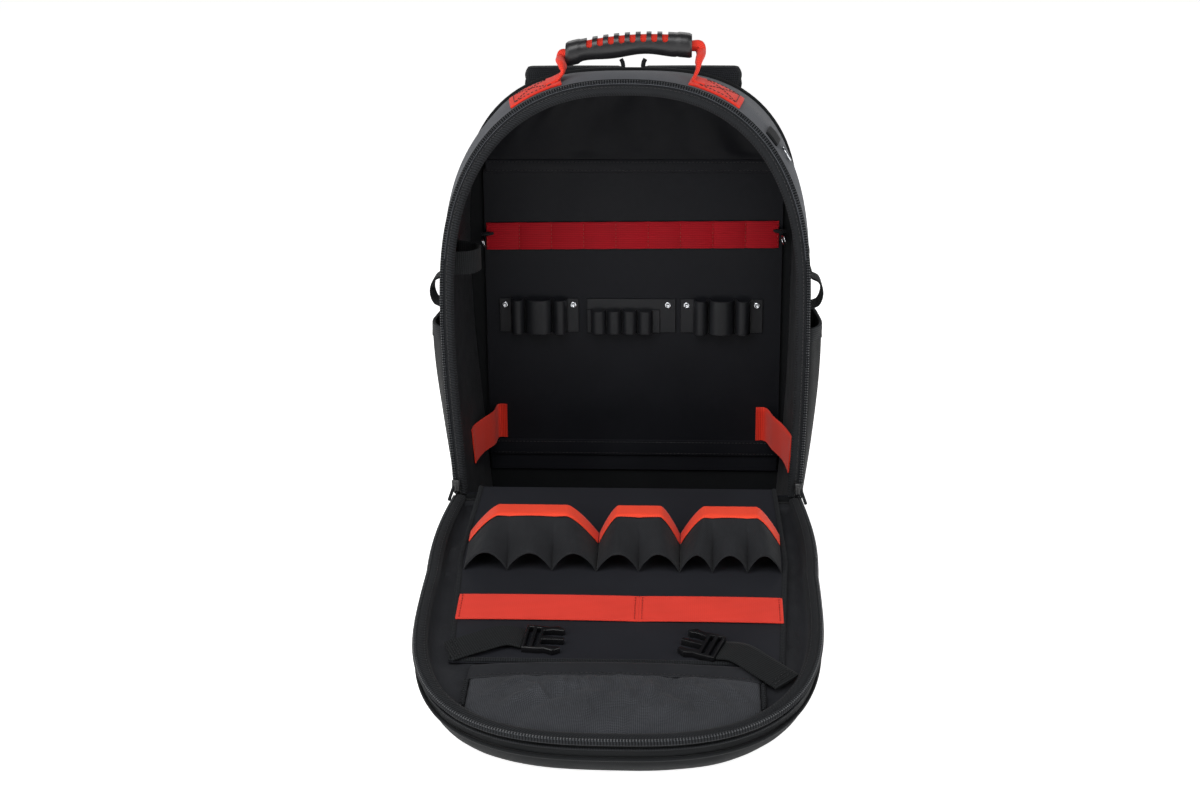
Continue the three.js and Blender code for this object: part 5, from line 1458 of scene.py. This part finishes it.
SLEEVE_FEET = {"left": (-150, -109, -66, -24.4), "middle": (-23.6, 16, 54.6), "right": (55.4, 86, 119, 151)}
for name, feet in SLEEVE_FEET.items():
    arches = len(feet) - 1
    cover_place = sleeve_surface(feet, sleeve_reach, lambda w: w * SLEEVE_THICKNESS, 0.9)
    cover = sheet(f"sleeve_{name}_cloth", cover_place, 24 * arches, 24, sleeve_cloth, crease=50)
    carried(cover, "black_cloth", f"sleeve_{name}")
    trim_place = sleeve_surface(feet, trim_reach, lambda w: SLEEVE_THICKNESS + 3 * GAP + w * ELASTIC)
    trim = sheet(f"sleeve_trim_{name}_binding", trim_place, 24 * arches, 6, red_binding, crease=50)
    carried(trim, "red_webbing", f"sleeve_trim_{name}")

# Flat red bands
# Two lengths of wide red elastic lie flat under the sleeves, sewn down at their ends and where they meet.
BAND_START, BAND_WIDTH, BAND_SEAM = 184, 38, 18
# Wide red elastic with fine ribs; it is paler than the tool band only because the tool band carries painted
# shade
bright_elastic = woven("red_wide_elastic", "#c82f22", "#e04335", 1.8, "ribs", 0.12, 0.6, 0.1, 0.04)


def on_organiser(start_x, end_x, start, end, thickness, bow=0.0):
    def place(u, v, w):
        reach = mix(start, end, v)
        lift = bow * np.sin(math.pi * u) ** 0.5
        return lid_point(mix(start_x, end_x, u), reach, organiser_top(reach) + GAP + w * thickness + lift)
    return place


for name, start_x, end_x in (("left", -149, BAND_SEAM - GAP), ("right", BAND_SEAM + GAP, 150)):
    band_place = on_organiser(start_x, end_x, BAND_START, BAND_START + BAND_WIDTH, ELASTIC, 0.8)
    band = sheet(f"red_band_{name}_elastic", band_place, 60, 8, bright_elastic)
    carried(band, "red_webbing", f"red_band_{name}")
    rows = []
    for x in (start_x + 3, end_x - 3):
        reach = np.linspace(BAND_START + 1, BAND_START + BAND_WIDTH - 1, 8)
        rows.append(lid_point(x, reach, organiser_top(reach) + GAP + ELASTIC + 0.5))
    carried(stitches(f"red_band_{name}_stitches", rows, [outwards] * 2, red_thread), "red_webbing")

# Lid straps
# Two lengths of ribbed webbing are sewn to the edges of the organiser and end in the pronged buckles.
STRAP_BOW, STRAP_LEAD, LID_WEBBING = 2.4, 16, 30
for name, start, end, turn in (("left", (-149, 273), (-84, 253), 0.1),
                               ("right", (150, 311), (93, 266), math.pi + 0.34)):
    side = unit(lid_point(start[1] - end[1], end[0] - start[0]) - lid_point(0, 0))
    lead = (end[0] - STRAP_LEAD * math.cos(turn), end[1] - STRAP_LEAD * math.sin(turn))
    middle = ((start[0] + lead[0]) / 2, (start[1] + lead[1]) / 2)
    stations = []
    for k, (x, reach) in enumerate((start, middle, lead, end)):
        bow = STRAP_BOW * math.sin(math.pi * k / 3)
        above = float(organiser_top(min(reach, ORGANISER_END))) + 2 + 2 * GAP + bow
        stations.append((lid_point(x, reach, above), side, LID_WEBBING, 2))
    webbing = strap(f"lid_strap_{name}_webbing", stations, 50, black_webbing, 0.1)
    carried(webbing, "black_cloth", f"lid_strap_{name}")
    rows = []
    for share in (0.05, 0.09):
        place = mix(stations[0][0], stations[1][0], share / 0.3) + outwards * 1.6
        rows.append([place + side * k for k in np.linspace(-13, 13, 12)])
    carried(stitches(f"lid_strap_{name}_stitches", rows, [outwards] * 2, black_thread), "black_cloth")

# Mesh pocket
# A wide piece of fine polyester mesh, gathered under a cloth hem and sewn in along the rim, with a twisted
# drawcord at each side of its mouth.
# Fine knitted polyester mesh, grey threads over dark gaps, its cells drawn 3.2 mm wide to show
pocket_mesh = woven("charcoal_pocket_mesh", "#0a0b0c", "#494b50", 3.2, "diamond", 0.5, 0.6, 0.06)
HEM_START, HEM_WIDTH, MESH_END, MESH_THICKNESS, MESH_WIDTH, MESH_SAG = 290, 19, 384, 1.5, 252, 9
MESH_START = HEM_START + HEM_WIDTH + GAP


def pocket_half(reach):
    return np.minimum(MESH_WIDTH / 2, lid_half(reach, -RIM_WIDTH - 1.5) - 1)


def pocket_span(u):
    return np.sin(math.pi * np.clip(u, 0, 1)) ** 0.5


def fold_line(u, v, start, end, width):
    """A long soft fold from one place of the pocket to another."""
    (u0, v0), (u1, v1) = start, end
    along = np.clip(((u - u0) * (u1 - u0) + (v - v0) * (v1 - v0)) / ((u1 - u0) ** 2 + (v1 - v0) ** 2), 0, 1)
    off = np.hypot(u - u0 - along * (u1 - u0), (v - v0 - along * (v1 - v0)) * 0.35)
    return np.exp(-(off / width) ** 2) * np.sin(math.pi * np.clip(along, 0.05, 0.95)) ** 0.5


# Each fold: its height, its two ends across and along the pocket, and its width
MESH_FOLDS = [
    (7.0, (0.02, 0.9), (0.3, 0.15), 0.035), (-4.0, (0.06, 0.95), (0.36, 0.3), 0.03),
    (5.0, (0.03, 0.45), (0.18, 0.03), 0.025), (4.5, (0.2, 0.1), (0.28, 0.5), 0.02),
    (4.0, (0.36, 0.95), (0.46, 0.2), 0.03), (-3.0, (0.42, 0.8), (0.6, 0.5), 0.04),
    (3.6, (0.52, 0.02), (0.56, 0.5), 0.018), (3.6, (0.64, 0.02), (0.62, 0.6), 0.02),
    (6.5, (0.98, 0.9), (0.76, 0.12), 0.032), (-4.0, (0.94, 0.95), (0.7, 0.35), 0.03),
    (5.0, (0.97, 0.45), (0.86, 0.03), 0.025), (3.0, (0.72, 0.9), (0.66, 0.3), 0.03),
]


def mesh_rise(u, v):
    body = pocket_span(u) * mix(0.75, 1, np.sin(math.pi * v)) * (1 - v ** 6) * MESH_SAG
    gathers = 1.6 * np.sin(u * 90 + 4 * np.sin(u * 17)) * np.exp(-v * 4) * np.clip(v * 14, 0, 1)
    folds = 0
    for height, start, end, width in MESH_FOLDS:
        folds = folds + height * fold_line(u, v, start, end, width)
    soft = 2.4 * waves(u * 8, v * 2.6, (1, 1), 12.0)
    return body + (gathers + folds + soft) * np.clip(pocket_span(u) * 1.3 - 0.25, 0, 1) * (1 - v ** 4)


def mesh_place(u, v, w):
    reach = mix(MESH_START, MESH_END, v)
    above = -LID_RECESS + GAP + np.maximum(0, mesh_rise(u, v)) + w * MESH_THICKNESS
    return lid_point((2 * u - 1) * pocket_half(reach), reach, above)


netting = sheet("mesh_pocket_netting", mesh_place, 200, 60, pocket_mesh, crease=80)
carried(netting, "black_cloth", "mesh_pocket")


def hem_place(u, v, w):
    reach = mix(HEM_START, HEM_START + HEM_WIDTH, v)
    rise = 0.75 * MESH_SAG * pocket_span(u) + w * 2 + 0.5 * w * np.sin(math.pi * v)
    rise = rise + 0.5 * np.sin(u * 120 + 4 * np.sin(u * 17)) * v ** 3 * pocket_span(u)
    return lid_point((2 * u - 1) * (MESH_WIDTH / 2 + 2), reach, -LID_RECESS + GAP + rise)


carried(sheet("pocket_hem_cloth", hem_place, 160, 10, lid_nylon, crease=70), "black_cloth", "pocket_hem")
u = np.linspace(0.02, 0.98, 120)
carried(stitches("pocket_hem_stitches", [hem_place(u, 0.88, 1.0) + outwards * 0.2], [outwards], black_thread),
        "black_cloth")
CORD_END = 346
for side, name in ((-1, "left"), (1, "right")):
    strands = []
    for phase in (0, math.pi):
        share = np.linspace(0, 1, 120)
        turn = share * 2 * math.pi * 6 + phase
        x = side * (MESH_WIDTH / 2 + 3.1 + 1.1 * np.cos(turn))
        above = -LID_RECESS + GAP + 2.2 + 1.1 * np.sin(turn)
        path = lid_point(x, mix(HEM_START + HEM_WIDTH + 1, CORD_END, share), above)
        strands.append(tube("strand", path, 1.15, zip_tape, sides=8))
    carried(join_pieces(f"pocket_cord_{name}_twist", strands), "black_cloth", f"pocket_cord_{name}")
